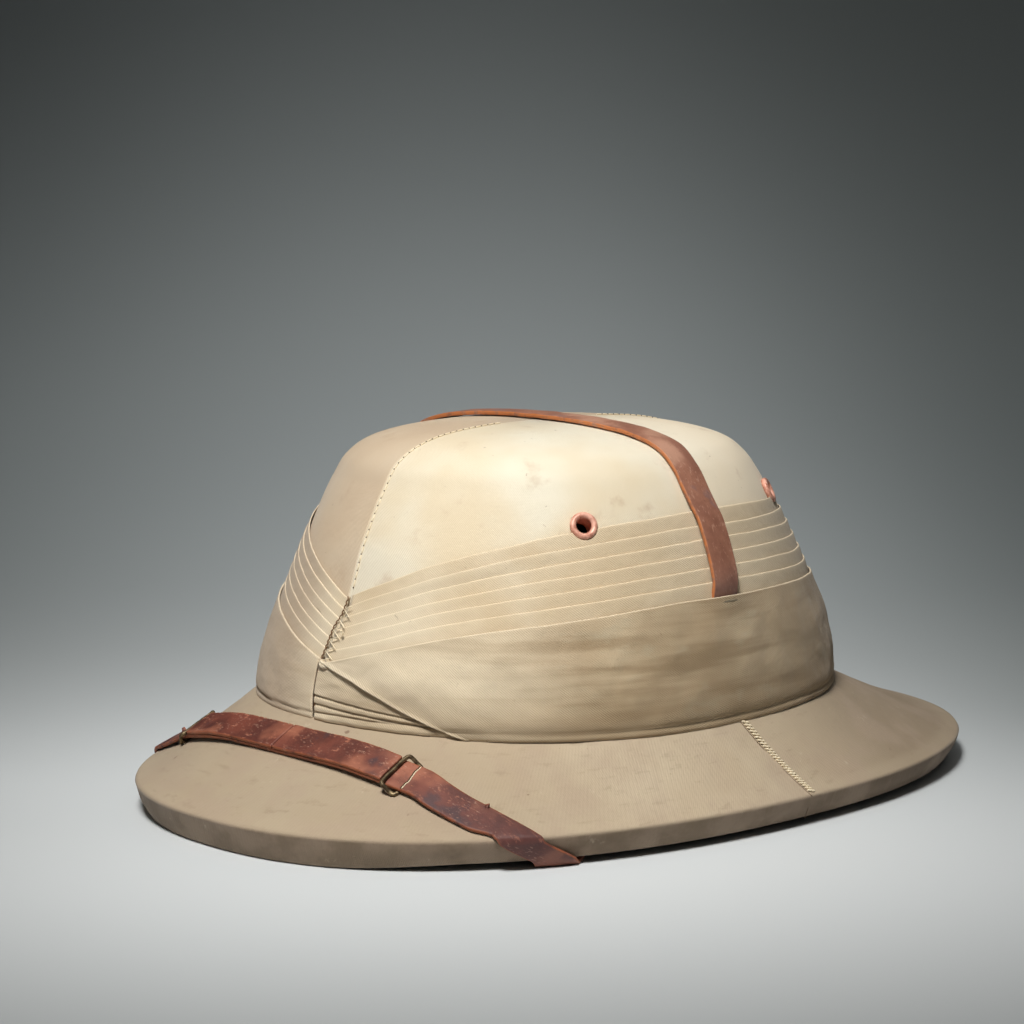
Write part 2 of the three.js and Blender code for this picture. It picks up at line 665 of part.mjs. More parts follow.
// A slider is a flat wire frame that the strap is threaded through: one bar lies over the strap
// and the other one under it.
function sliderGeometry({ turn, side }) {
  const { middle, along, across, normal, clear } = chinOnTop(turn * side);
  const halfWidth = CHIN_WIDTH / 2 + 1.3;
  const overBar = clear + CHIN_THICK + GAP + WIRE_RADIUS;
  const underBar = clear - GAP - WIRE_RADIUS;
  const round = 1.2;
  const unit = across.clone().normalize();
  const frame = [
    { run: 0, width: -halfWidth + round, high: overBar },
    { run: 0, width: halfWidth - round, high: overBar },
    { run: 0.8, width: halfWidth, high: overBar },
    { run: 5.2, width: halfWidth, high: underBar },
    { run: 6, width: halfWidth - round, high: underBar },
    { run: 6, width: -halfWidth + round, high: underBar },
    { run: 5.2, width: -halfWidth, high: underBar },
    { run: 0.8, width: -halfWidth, high: overBar },
  ];
  return wireLoop(frame.map(({ run, width, high }) => middle.clone()
    .addScaledVector(along, run * side)
    .addScaledVector(unit, width)
    .addScaledVector(normal, high)), WIRE_RADIUS);
}

for (const slider of SLIDERS) {
  addPiece(slider.name, sliderGeometry(slider), 'brass');
}

// A plain rivet holds each end of the strap to the inside of the crown.
function rivetGeometry(side) {
  const lean = WALL_LEAN * ANCHOR_RUN / INSIDE_RUN;
  const { middle, normal, clear } = chinInside(ANCHOR_RUN, CHIN_CLEAR + lean);
  const rivet = new THREE.CylinderGeometry(3.2, 3.6, 1.2, 16);
  const turnTo = new THREE.Quaternion().setFromUnitVectors(new THREE.Vector3(0, 1, 0), normal);
  const place = middle.addScaledVector(normal, clear + CHIN_THICK + 4 * GAP + 0.6);
  rivet.applyQuaternion(turnTo).translate(place.x, place.y, place.z);
  if (side > 0) return rivet;
  const flipped = rivet.toNonIndexed().scale(-1, 1, 1);
  const points = [...flipped.getAttribute('position').array];
  return closedGeometry(points, points.slice(0, points.length / 3).map((_, n) => n));
}

addPiece('anchor_left', rivetGeometry(1), 'brass');
addPiece('anchor_right', rivetGeometry(-1), 'brass');

export default helmet;
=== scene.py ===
"""Blender looks of a pith helmet with a pleated cloth band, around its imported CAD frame."""
import bisect
import math

import bmesh
import bpy
from mathutils import Matrix, Vector, noise


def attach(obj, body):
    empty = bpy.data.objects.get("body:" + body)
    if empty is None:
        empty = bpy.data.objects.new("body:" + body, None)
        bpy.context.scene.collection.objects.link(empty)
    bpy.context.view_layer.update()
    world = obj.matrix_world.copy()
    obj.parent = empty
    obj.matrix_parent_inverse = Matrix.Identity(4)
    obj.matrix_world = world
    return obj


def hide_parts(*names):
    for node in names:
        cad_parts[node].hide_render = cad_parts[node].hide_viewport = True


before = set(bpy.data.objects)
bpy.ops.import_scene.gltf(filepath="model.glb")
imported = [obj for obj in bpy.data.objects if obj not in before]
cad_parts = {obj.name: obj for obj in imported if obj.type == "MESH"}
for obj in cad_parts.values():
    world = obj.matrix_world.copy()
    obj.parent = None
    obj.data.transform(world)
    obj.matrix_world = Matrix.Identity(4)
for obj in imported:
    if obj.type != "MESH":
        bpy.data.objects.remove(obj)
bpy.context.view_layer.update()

# ---- crown ----
# A shell of pith 8 mm thick under a cotton cover of four panels. The panels meet in seams at the
# front, at the back and under the strap on each side, and the front seam is top-stitched.
# Plan sections from foot to top: height, reach to the front, side and back, squareness.
CROWN_Y = -0.0077
CROWN_WALL = 0.008
CROWN_ROWS = [
    (0.0260, 0.1155, 0.1004, 0.1125, 2.26),
    (0.0400, 0.1149, 0.0997, 0.1120, 2.26),
    (0.0600, 0.1103, 0.0974, 0.1084, 2.22),
    (0.0840, 0.1014, 0.0932, 0.1004, 2.14),
    (0.1000, 0.0958, 0.0888, 0.0942, 2.08),
    (0.1130, 0.0896, 0.0842, 0.0874, 2.08),
    (0.1220, 0.0844, 0.0794, 0.0820, 2.12),
    (0.1300, 0.0790, 0.0736, 0.0756, 2.16),
    (0.1360, 0.0695, 0.0654, 0.0672, 2.16),
    (0.1400, 0.0545, 0.0494, 0.0514, 2.12),
    (0.1422, 0.0300, 0.0255, 0.0275, 2.10),
    (0.1428, 0.0, 0.0, 0.0, 2.10),
]
GAP = 0.0003


def lerp(a, b, share):
    return a + (b - a) * share


def smoothstep(low, high, value):
    share = min(max((value - low) / (high - low), 0.0), 1.0)
    return share * share * (3.0 - 2.0 * share)


def bump(value, centre, half):
    """1 at the centre, easing to 0 at half to either side of it."""
    return 1.0 - smoothstep(0.0, half, abs(value - centre))


def read(rows, at):
    """The rows' other columns at a place in their first one, on a curve through every row."""
    keys = [row[0] for row in rows]
    at = min(max(at, keys[0]), keys[-1])
    i = min(max(bisect.bisect_right(keys, at) - 1, 0), len(rows) - 2)
    a, b = rows[i], rows[i + 1]
    before, after = rows[max(i - 1, 0)], rows[min(i + 2, len(rows) - 1)]
    span = b[0] - a[0]
    t = (at - a[0]) / span
    found = []
    for k in range(1, len(a)):
        leaving = span * (b[k] - before[k]) / (b[0] - before[0])
        arriving = span * (after[k] - a[k]) / (after[0] - a[0])
        found.append((2 * t**3 - 3 * t**2 + 1) * a[k] + (t**3 - 2 * t**2 + t) * leaving
                     + (3 * t**2 - 2 * t**3) * b[k] + (t**3 - t**2) * arriving)
    return found


def plan_point(turn, front, side, back, square, centre_y, z):
    """A point of an egg-shaped plan section. Turn 0 is the front and 90 the wearer's left."""
    s, c = math.sin(math.radians(turn)), math.cos(math.radians(turn))
    power = 2.0 / square
    x = side * math.copysign(abs(s) ** power, s)
    reach = front if c > 0 else back
    return Vector((x, centre_y - reach * math.copysign(abs(c) ** power, c), z))


# The rows read closely, as heights with the sections there.
STEPS_A_ROW = 24
crown_steps = [read([(i, *row) for i, row in enumerate(CROWN_ROWS)], n / STEPS_A_ROW)
               for n in range(STEPS_A_ROW * (len(CROWN_ROWS) - 1) + 1)]
crown_heights = [step[0] for step in crown_steps]


def section(z):
    i = min(max(bisect.bisect_right(crown_heights, z) - 1, 0), len(crown_steps) - 2)
    a, b = crown_steps[i], crown_steps[i + 1]
    share = min(max((z - a[0]) / (b[0] - a[0]), 0.0), 1.0)
    return [lerp(p, q, share) for p, q in zip(a[1:], b[1:])]


def on_crown(turn, z, proud=0.0):
    front, side, back, square = section(z)
    return plan_point(turn, front + proud, side + proud, back + proud, square, CROWN_Y, z)


def crown_normal(turn, z):
    round_way = on_crown(turn + 1, z) - on_crown(turn - 1, z)
    up_way = on_crown(turn, z + 0.001) - on_crown(turn, z - 0.001)
    return round_way.cross(up_way).normalized()


def wander(turn, height, seed, size=0.02):
    """Soft noise from -1 to 1 that closes on itself round the helmet."""
    around = math.radians(turn)
    reach = 0.1 / size
    return noise.noise(Vector((reach * math.sin(around), reach * math.cos(around), height / size)) +
                       Vector((seed * 7.3, seed * 3.1, seed * 5.7)))


def surface(name, across, up, place, thick=0.0, marks=()):
    """A sheet of quads. place(u, v) gives a point, its two lengths on the flat cloth in metres
    and one number for each of the marks, which are kept as attributes for the material."""
    bm = bmesh.new()
    cut = bm.loops.layers.uv.new("cut")
    layers = [bm.verts.layers.float.new(mark) for mark in marks]
    bmesh.ops.create_grid(bm, x_segments=across, y_segments=up, size=0.5)
    flat = {}
    for vert in bm.verts:
        vert.co, flat[vert], *values = place(vert.co.x + 0.5, vert.co.y + 0.5)
        for layer, value in zip(layers, values):
            vert[layer] = value
    for face in bm.faces:
        face.smooth = True
        for loop in face.loops:
            loop[cut].uv = flat[loop.vert]
    return finished(name, bm, thick)


def finished(name, bm, thick=0.0, join=1e-6):
    """Merges what meets, turns the faces outwards and makes the object."""
    bmesh.ops.remove_doubles(bm, verts=bm.verts[:], dist=join)
    bmesh.ops.dissolve_degenerate(bm, dist=1e-7, edges=bm.edges[:])
    bmesh.ops.recalc_face_normals(bm, faces=bm.faces[:])
    mesh = bpy.data.meshes.new(name)
    bm.to_mesh(mesh)
    bm.free()
    made = bpy.data.objects.new(name, mesh)
    bpy.context.scene.collection.objects.link(made)
    if thick:
        wall = made.modifiers.new("wall", "SOLIDIFY")
        wall.thickness = thick
        wall.offset = -1.0
    return made


class Wire:
    """The output of a shader node, which takes part in sums as a number does."""

    def __init__(self, socket):
        self.socket = socket

    def node(self, kind, inputs=(), out=0, **settings):
        made = self.socket.id_data.nodes.new("ShaderNode" + kind)
        for name, value in settings.items():
            setattr(made, name, value)
        for name, value in dict(inputs).items():
            feed(made.inputs[name], value)
        return Wire(made.outputs[out])

    def maths(self, operation, *others):
        return self.node("Math", enumerate((self, *others)), operation=operation)

    def __add__(self, other):
        return self.maths("ADD", other)

    def __sub__(self, other):
        return self.maths("SUBTRACT", other)

    def __mul__(self, other):
        return self.maths("MULTIPLY", other)

    def __rsub__(self, other):
        return self * -1.0 + other

    __radd__ = __add__
    __rmul__ = __mul__

    def sine(self):
        return self.maths("SINE")

    def between(self, low, high):
        """0 below low and 1 above high, eased. With high below low it falls instead."""
        if high < low:
            return 1.0 - self.between(high, low)
        return self.node("MapRange", {"Value": self, "From Min": low, "From Max": high},
                         interpolation_type="SMOOTHSTEP")

    def noise(self, size, detail=2.0, rough=0.5, stretch=(1.0, 1.0, 1.0), at=0.0):
        """Soft noise about 0.5. size is that of its largest blots, in metres."""
        moved = self.node("Mapping", {"Vector": self, "Location": (at, at, at), "Scale": stretch})
        return moved.node("TexNoise", {"Vector": moved, "Scale": 1.0 / size, "Detail": detail,
                                       "Roughness": rough})

    def tint(self, low, high):
        """A colour between two, this number being the share of the second."""
        return self.node("Mix", {0: self, 6: low, 7: high}, out=2, data_type="RGBA",
                         clamp_factor=True)

    def relief(self, depth):
        """A normal bumped by this height from 0 to 1, which stands for depth in metres."""
        return self.node("Bump", {"Height": self, "Distance": depth, "Strength": 1.0})


def feed(socket, value):
    if isinstance(value, Wire):
        socket.id_data.links.new(value.socket, socket)
    else:
        socket.default_value = value


def rgb(red, green, blue):
    """A colour as it shows on a screen, from 0 to 255 each, in the linear scale of the shaders."""
    return (*(((v / 255 + 0.055) / 1.055) ** 2.4 if v > 10 else v / 3294.6
              for v in (red, green, blue)), 1.0)


def material(name, roughness, metallic=0.0, sheen=0.0):
    """A new material, its shader node, its object coordinates and those on the flat cloth."""
    made = bpy.data.materials.new(name)
    made.use_nodes = True
    shader = made.node_tree.nodes["Principled BSDF"]
    feed(shader.inputs["Roughness"], roughness)
    feed(shader.inputs["Metallic"], metallic)
    feed(shader.inputs["Sheen Weight"], sheen)
    feed(shader.inputs["Sheen Roughness"], 0.5)
    place = Wire(made.node_tree.nodes.new("ShaderNodeTexCoord").outputs["Object"])
    cut = place.node("UVMap", uv_map="cut")
    return made, shader, place, cut


def parts(vector):
    """The x, y and z of a vector as three numbers."""
    split = vector.node("SeparateXYZ", {"Vector": vector})
    return [Wire(socket) for socket in split.socket.node.outputs]


def twill(cut, pitch, slope=1.0):
    """The slanting ribs of a twill, from 0 to 1."""
    u, v, _ = parts(cut)
    ribs = ((u + v * slope) * (2 * math.pi / pitch)).sine()
    yarns = ((v - u * 0.4) * (2 * math.pi / (pitch * 0.55))).sine()
    return ribs * 0.35 + yarns * 0.15 + 0.5


def dress(piece, cover):
    piece.data.materials.append(cover)
    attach(piece, "root")


def stitches(name, runs, radius):
    """Threads lying on a surface: each run gives its two ends and the way out of the cloth."""
    bm = bmesh.new()
    for start, end, out in runs:
        along = end - start
        length = along.length / 2 + radius
        x = along.normalized()
        z = (out - x * out.dot(x)).normalized()
        turned = Matrix((x, z.cross(x), z)).transposed().to_4x4()
        spread = Matrix.Diagonal((length, radius, radius, 1.0))
        bmesh.ops.create_uvsphere(bm, u_segments=6, v_segments=6, radius=1.0, matrix=(
            Matrix.Translation((start + end) / 2) @ turned @ spread @
            Matrix.Rotation(math.pi / 2, 4, "Y")))
    for face in bm.faces:
        face.smooth = True
    return finished(name, bm, join=1e-9)


EYELETS = {
    "front_left": (57.0, 0.1118),
    "back_left": (128.0, 0.1154),
    "front_right": (-57.0, 0.1118),
    "back_right": (-128.0, 0.1154),
}
VENT_RADIUS = 0.0042
CROWN_FOOT = 0.033
SEAM_RIDGE = 0.00035
CROWN_REACH = 0.095
CROWN_COLUMNS = 440
CROWN_UP = 150


def panelled(u):
    """A turn from 0 to 360, with more columns close to the four seams."""
    return 360.0 * u - 90.0 / (2 * math.pi) * 0.72 * math.sin(8 * math.pi * u)


def crown_step(v):
    """The crown's section a share of the way up, from just under its foot to the top."""
    if v > 0.9999:
        return crown_steps[-1]
    index = lerp(0.5, len(CROWN_ROWS) - 1, v) * STEPS_A_ROW
    above = crown_steps[min(int(index) + 1, len(crown_steps) - 1)]
    return [lerp(p, q, index % 1.0) for p, q in zip(crown_steps[int(index)], above)]


def crown_place_at(turn, v):
    z, front, side, back, square = crown_step(v)
    return plan_point(turn, front, side, back, square, CROWN_Y, z)


def crown_place(u, v):
    turn = panelled(u)
    z, front, side, back, square = crown_step(v)
    from_seam = (turn + 45.0) % 90.0 - 45.0
    calm = smoothstep(0.0, 0.02, front)
    swell = 0.0004 * wander(turn, z, 1, 0.05) + 0.00012 * wander(turn, z, 2, 0.012)
    fold = SEAM_RIDGE * (smoothstep(-5.0, -0.35, from_seam) if from_seam < 0.0
                         else 0.25 * bump(from_seam, 0.0, 0.6))
    proud = (swell + fold) * calm
    point = plan_point(turn, front + proud, side + proud, back + proud, square, CROWN_Y, z)
    return point, (math.radians(turn) * CROWN_REACH, lerp(0.0075, 0.165, v))


crown = surface("crown_body", CROWN_COLUMNS, CROWN_UP, crown_place)
bm = bmesh.new()
bm.from_mesh(crown.data)
for turn, z in EYELETS.values():
    centre, out = on_crown(turn, z), crown_normal(turn, z)
    near = [f for f in bm.faces if (f.calc_center_median() - centre).length < VENT_RADIUS]
    bmesh.ops.delete(bm, geom=near, context="FACES")
    for vert in bm.verts:
        off = vert.co - centre
        if vert.is_boundary and off.length < 3 * VENT_RADIUS:
            rise = off.dot(out)
            vert.co = centre + out * rise + (off - out * rise).normalized() * VENT_RADIUS
bm.to_mesh(crown.data)
bm.free()
wall = crown.modifiers.new("wall", "SOLIDIFY")
wall.thickness = CROWN_WALL
wall.offset = -1.0
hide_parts("crown")

CREAM = rgb(228, 212, 182)
CREAM_PALE = rgb(236, 229, 209)
CREAM_PINK = rgb(197, 172, 144)
CREAM_SOILED = rgb(186, 160, 124)
STAIN = rgb(171, 132, 98)
crown_cloth, shader, place, cut = material("crown_cloth", 0.9, sheen=0.15)
x, y, z = parts(place)
clouds = place.noise(0.055, 3.0)
base = clouds.between(0.34, 0.66).tint(CREAM, CREAM_PALE)
# Painted shade, partly the panels' own pinker tone: the wearer's right panels, which face away from
# the key light, are painted darker and pinker.
right_panels = x.between(0.0006, -0.0006)
base = (right_panels * (place.noise(0.03, 2.0, at=4.0) * 0.5 + 0.55)).tint(base, CREAM_PINK)
back_panels = y.between(-0.012, 0.06) * 0.05
base = (back_panels * (clouds + 0.3)).tint(base, CREAM_SOILED)
base = (y.between(-0.02, 0.03) * x.between(0.0, 0.02) * 0.75).tint(base, rgb(248, 232, 205))
blots = place.noise(0.016, 4.0, 0.6, at=1.7).between(0.58, 0.78) * 0.42
base = blots.tint(base, STAIN)
specks = place.noise(0.0028, 2.0, 0.6, at=9.0).between(0.72, 0.80) * 0.5
base = specks.tint(base, rgb(120, 88, 60))
foot_dirt = z.between(0.128, 0.085) * 0.22
base = foot_dirt.tint(base, CREAM_SOILED)
weave = twill(cut, 0.0009)
feed(shader.inputs["Base Color"], (weave * 0.12).tint(base, CREAM_SOILED))
feed(shader.inputs["Normal"], (weave * 0.6 + place.noise(0.004, 3.0)).relief(0.00016))
dress(crown, crown_cloth)

# ---- crown stitching ----
# The front and back seams are sewn down with pale cotton thread. Each stitch sinks in at both
# ends, where the needle left a small hole, drawn as a dark dot: painted shade for its hollow.
STITCH_STEP = 0.0030
STITCH_TURN = 0.75


def seam_places(turn, low, high, step):
    """Places along a seam of the crown, evenly spaced up its curve."""
    count = 600
    line = [crown_place_at(turn, i / count) for i in range(count + 1)]
    found, run = [], 0.0
    for a, b in zip(line, line[1:]):
        if low < a.z < high:
            run += (b - a).length
            if run >= step:
                found.append(a)
                run = 0.0
    return found


def sewn(places, centre, gap_share=0.28):
    """Stitches between the places, and the holes at their ends."""
    threads, holes = [], []
    for a, b in zip(places, places[1:]):
        out = ((a + b) / 2 - centre).normalized()
        start, end = a.lerp(b, gap_share / 2), a.lerp(b, 1 - gap_share / 2)
        threads.append((start + out * 0.0003, end + out * 0.0003, out))
        holes.append((a + out * 0.0004, a + out * 0.0004 + (b - a).normalized() * 1e-5, out))
    return threads, holes


PALE_THREAD = rgb(246, 234, 206)
thread_cloth, shader, place, cut = material("pale_thread", 0.8)
feed(shader.inputs["Base Color"], place.noise(0.004).tint(PALE_THREAD, rgb(222, 202, 168)))
# Painted shade: the needle holes are dark dots standing in for the shade in each hole. The same dark
# colour draws the brim seam's line and the strap crack's shade.
needle_dark, shader, place, cut = material("needle_hole", 0.95)
feed(shader.inputs["Base Color"], place.noise(0.004).tint(rgb(70, 50, 34), rgb(92, 68, 46)))

crown_middle = Vector((0.0, CROWN_Y, 0.06))
threads, holes = [], []
for turn, low in ((STITCH_TURN, 0.084), (180.0 - STITCH_TURN, 0.112)):
    more, more_holes = sewn(seam_places(turn, low, 0.1424, STITCH_STEP), crown_middle)
    threads += more
    holes += more_holes
crown_thread = stitches("crown_stitching", threads, 0.00034)
dress(crown_thread, thread_cloth)
crown_holes = stitches("crown_needle_holes", holes, 0.00024)
dress(crown_holes, needle_dark)

# ---- brim ----
# Pith under a tighter cover, one moulding with the crown. It slopes down all round to a soft
# crease, with a deep slanting edge below it and an open hollow underneath. The cover is joined
# at each side in a seam with two rows of stitches.
BRIM_Y = 0.003
BRIM_FRONT = 0.1826
BRIM_BACK = 0.1766
BRIM_SIDE = 0.1298
BRIM_SQUARE = 2.26
BRIM_REACH = 0.15
CREASE_Z = 0.0118
BRIM_TOP_Z = 0.040
COLLAR_UNDER_Z = 0.0275
EDGE_SLANT = 0.0034
EDGE_CHAMFER = 0.0012
LAND_WIDTH = 0.0034
RIM_LIFT = 0.0024
BRIM_SAG = 0.0016


def brim_line(turn, inset, z):
    return plan_point(turn, BRIM_FRONT - inset, BRIM_SIDE - inset, BRIM_BACK - inset,
                      BRIM_SQUARE, BRIM_Y, z)


def rim_height(turn):
    off_axis = min(turn % 180.0, 180.0 - turn % 180.0)
    return RIM_LIFT * smoothstep(20.0, 46.0, off_axis)


def on_brim(turn, out):
    point = on_crown(turn, BRIM_TOP_Z, GAP).lerp(brim_line(turn, 0.0, CREASE_Z), out)
    point.z -= BRIM_SAG * math.sin(math.pi * out)
    return point


def brim_normal(turn, out):
    round_way = on_brim(turn + 1, out) - on_brim(turn - 1, out)
    outwards = on_brim(turn, out + 0.01) - on_brim(turn, out - 0.01)
    return outwards.cross(round_way).normalized()


def softened(points):
    """A closed line with its corners cut, to a quarter from both ends of a side."""
    return [a.lerp(b, share) for a, b in zip(points, points[1:] + points[:1])
            for share in (0.25, 0.75)]


BRIM_OUTS = [0.06 + 0.045 * i for i in range(20)]
brim_sections = {}


def brim_section(turn):
    """The brim's closed section at a turn, from its collar over the top and back underneath."""
    rim = rim_height(turn)
    inset = EDGE_SLANT + EDGE_CHAMFER
    collar = on_crown(turn, CROWN_FOOT - GAP, -CROWN_WALL)
    under = brim_line(turn, inset + LAND_WIDTH + 0.008, rim + 0.0056)
    collar_under = Vector((collar.x, collar.y, COLLAR_UNDER_Z))
    top = [on_brim(turn, out) for out in BRIM_OUTS]
    for i, point in enumerate(top):
        away = math.sin(math.pi * i / len(BRIM_OUTS))
        dent = 0.0005 * wander(turn, i * 0.004, 3, 0.03) + 0.00016 * wander(turn, i * 0.004, 4, 0.009)
        top[i] = point + brim_normal(turn, BRIM_OUTS[i]) * dent * away
    wave = 0.0004 * wander(turn, 0.0, 5, 0.03)
    points = [
        collar, on_crown(turn, CROWN_FOOT - GAP, GAP), on_brim(turn, 0.0), on_brim(turn, 0.03), *top,
        on_brim(turn, 0.965), on_brim(turn, 1.002) + Vector((0, 0, wave)),
        brim_line(turn, 0.0004, CREASE_Z - 0.0018 + wave),
        brim_line(turn, EDGE_SLANT * 0.45 + wave, lerp(CREASE_Z, rim, 0.5)),
        brim_line(turn, EDGE_SLANT, rim + EDGE_CHAMFER * 1.6),
        brim_line(turn, inset, rim), brim_line(turn, inset + LAND_WIDTH, rim),
        under.lerp(brim_line(turn, inset + LAND_WIDTH, rim), 0.5), under,
        *[collar_under.lerp(under, share) for share in (0.8, 0.6, 0.4, 0.2)],
        collar_under,
    ]
    return softened(points)


def brim_place(u, v):
    turn = 360.0 * u
    if turn not in brim_sections:
        points = brim_section(turn)
        run = [0.0]
        for a, b in zip(points, points[1:] + points[:1]):
            run.append(run[-1] + (b - a).length)
        brim_sections[turn] = points + points[:1], run
    points, run = brim_sections[turn]
    i = round(v * (len(points) - 1))
    return points[i], (math.radians(turn) * BRIM_REACH, run[i])


brim = surface("brim_body", 480, len(brim_section(0.0)), brim_place)
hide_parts("brim")

KHAKI = rgb(189, 171, 145)
KHAKI_PALE = rgb(200, 184, 158)
KHAKI_WARM = rgb(176, 152, 122)
KHAKI_DIRT_AND_SHADE = rgb(132, 112, 88)
EDGE_PAINTED_SHADE = rgb(106, 87, 68)
brim_cloth, shader, place, cut = material("brim_cloth", 0.88, sheen=0.12)
x, y, z = parts(place)
clouds = place.noise(0.06, 3.0, at=2.0)
base = clouds.between(0.35, 0.65).tint(KHAKI, KHAKI_PALE)
warm = place.noise(0.03, 3.0, 0.6, at=6.0).between(0.5, 0.72) * 0.18
base = warm.tint(base, KHAKI_WARM)
# Painted shade: the brim is painted darker towards the back, which lies away from the key light.
base = (y.between(-0.04, 0.09) * (clouds * 0.9 + 0.35)).tint(base, KHAKI_DIRT_AND_SHADE)
base = (y.between(-0.05, -0.13) * (clouds * 0.5 + 0.12)).tint(base, KHAKI_DIRT_AND_SHADE)
# Painted shade: the slanting edge below the crease is painted much darker, standing in for the shade
# it lies in.
edge_painted_shade = z.between(0.0127, 0.0106) * 0.9
base = (edge_painted_shade * (clouds * 0.6 + 0.7)).tint(base, EDGE_PAINTED_SHADE)
crease_pale = z.between(0.0105, 0.0125) * z.between(0.0165, 0.0135) * 0.3
base = crease_pale.tint(base, KHAKI)
streaks = place.noise(0.010, 3.0, 0.65, stretch=(1.0, 1.0, 5.0), at=3.0).between(0.56, 0.74) * 0.3
base = streaks.tint(base, KHAKI_DIRT_AND_SHADE)
marks = place.noise(0.006, 2.0, 0.5, at=8.0).between(0.745, 0.79) * 0.75
base = marks.tint(base, rgb(92, 60, 38))
mottle = place.noise(0.025, 4.0, 0.6, at=17.0).between(0.42, 0.62) * 0.4
base = mottle.tint(base, rgb(170, 149, 129))
scuffs = place.noise(0.009, 5.0, 0.75, at=5.0).between(0.64, 0.72) * 0.3
base = scuffs.tint(base, rgb(222, 208, 182))
u, v, _ = parts(cut)
ribs = (u * (2 * math.pi / 0.0016)).sine() * 0.5 + 0.5
fine = twill(cut, 0.0008, 0.5)
feed(shader.inputs["Base Color"], (ribs * 0.04 + fine * 0.1).tint(base, KHAKI_DIRT_AND_SHADE))
feed(shader.inputs["Normal"],
     (ribs * 0.13 + fine * 0.3 + place.noise(0.005, 4.0) * 1.5).relief(0.0002))
dress(brim, brim_cloth)

# ---- brim seams ----
# At each side the cover's two halves are joined by a seam that runs out from the band to the
# crease and on down the edge. On top it is sewn with a pale zig-zag in two rows.
SEAM_OUT_TURN = 90.0
SEAM_ROW = 0.0011


def brim_seam_point(side, out, across):
    point = on_brim(SEAM_OUT_TURN * side, out)
    round_way = (on_brim(SEAM_OUT_TURN * side + 1, out) - on_brim(SEAM_OUT_TURN * side - 1, out))
    return point + round_way.normalized() * across


threads, holes, ridge = [], [], []
for side in (1, -1):
    for i in range(26):
        out = 0.10 + i * 0.0335
        normal = brim_normal(SEAM_OUT_TURN * side, out)
        lift = normal * 0.0004
        left = brim_seam_point(side, out, 0.0004) + lift
        middle = brim_seam_point(side, out + 0.011, 0.0004 + SEAM_ROW) + lift
        right = brim_seam_point(side, out + 0.022, 0.0004 + 2 * SEAM_ROW) + lift
        threads += [(left, middle, normal), (middle, right, normal)]
        holes += [(p, p + normal * 1e-5, normal) for p in (left, right)]
    for i in range(60):
        out = i / 60
        a, b = (brim_seam_point(side, o, -0.0004) for o in (out, out + 1 / 58))
        ridge.append((a, b, brim_normal(SEAM_OUT_TURN * side, out)))
    for i in range(10):
        a, b = (brim_line(SEAM_OUT_TURN * side, EDGE_SLANT * s, lerp(CREASE_Z, RIM_LIFT, s))
                for s in (i / 10, (i + 1) / 10))
        ridge.append((a, b, Vector((side, 0, 0))))
brim_thread = stitches("brim_stitching", threads, 0.0005)
dress(brim_thread, thread_cloth)
brim_holes = stitches("brim_needle_holes", holes, 0.0002)
dress(brim_holes, needle_dark)
brim_ridge = stitches("brim_seam_line", ridge, 0.00014)
dress(brim_ridge, needle_dark)

# ---- pleats ----
# The upper puggaree: one long bias strip of cotton folded into six flat pleats, wound tight and
# sewn shut in the middle of the front, where the pleats run together in a V. The folded edges
# are rubbed pale, and their tops are painted paler still as painted highlight. Turn, height of
# the top pleat's edge and height of the wide band's edge:
PUGGAREE_EDGES = [
    (0.0, 0.0832, 0.0604), (6.0, 0.0878, 0.0636), (13.0, 0.0923, 0.0672), (22.0, 0.0976, 0.0713),
    (33.0, 0.1026, 0.0752), (46.0, 0.1075, 0.0784), (60.0, 0.1109, 0.0810),
    (75.0, 0.1133, 0.0832), (90.0, 0.1146, 0.0843), (120.0, 0.1138, 0.0836),
    (150.0, 0.1118, 0.0820), (180.0, 0.1106, 0.0810),
]
SEAM_LINE = [(0.044, -1.0), (0.0507, -1.5), (0.0597, -1.5), (0.0658, -1.0), (0.0725, -0.5),
             (0.0775, 0.5), (0.0832, 1.0), (0.09, 1.2)]
SEAM_HALF = 0.30
PLEAT_COUNT = 6
CLOTH = 0.0004
FOLD_RADIUS = 0.0003
PLEAT_BELOW = 0.0030
PLEAT_REACH = 0.1


def seam_turn(z):
    return read(SEAM_LINE, z)[0]


edge_table = [read(PUGGAREE_EDGES, turn) for turn in range(181)]


def fold_height(turn, k):
    around = abs((turn + 180.0) % 360.0 - 180.0)
    i = min(int(around), 179)
    pleat, band = (lerp(a, b, around - i) for a, b in zip(edge_table[i], edge_table[i + 1]))
    slack = 0.00045 * wander(turn, 0.0, 20 + k, 0.035) + 0.0002 * wander(turn, 0.0, 30 + k, 0.012)
    return lerp(pleat, band, k / PLEAT_COUNT) + slack * smoothstep(0.0, 12.0, around)


def pleat_prouds(k, turn):
    """How far the outer face of pleat k stands from the crown at its folded edge and its foot."""
    flat = max(smoothstep(258.0, 300.0, turn), 1.0 - smoothstep(2.0, 30.0, turn))
    edge = lerp(0.0016 + 0.00032 * k, 0.0013 + 0.0001 * k, flat)
    if k == 0:
        edge = lerp(0.0013, 0.0011, flat)
    low = edge - lerp(0.0004, 0.0002, flat) + 0.0001 * wander(turn, 0.0, 40 + k)
    if k == 1:
        edge += 0.0009 * bump(turn, 35.0, 29.0)
    return edge, low


# Rows of quads round a pleat's folded edge, and down its outer face.
FOLD_STEPS = 9
FACE_STEPS = 12


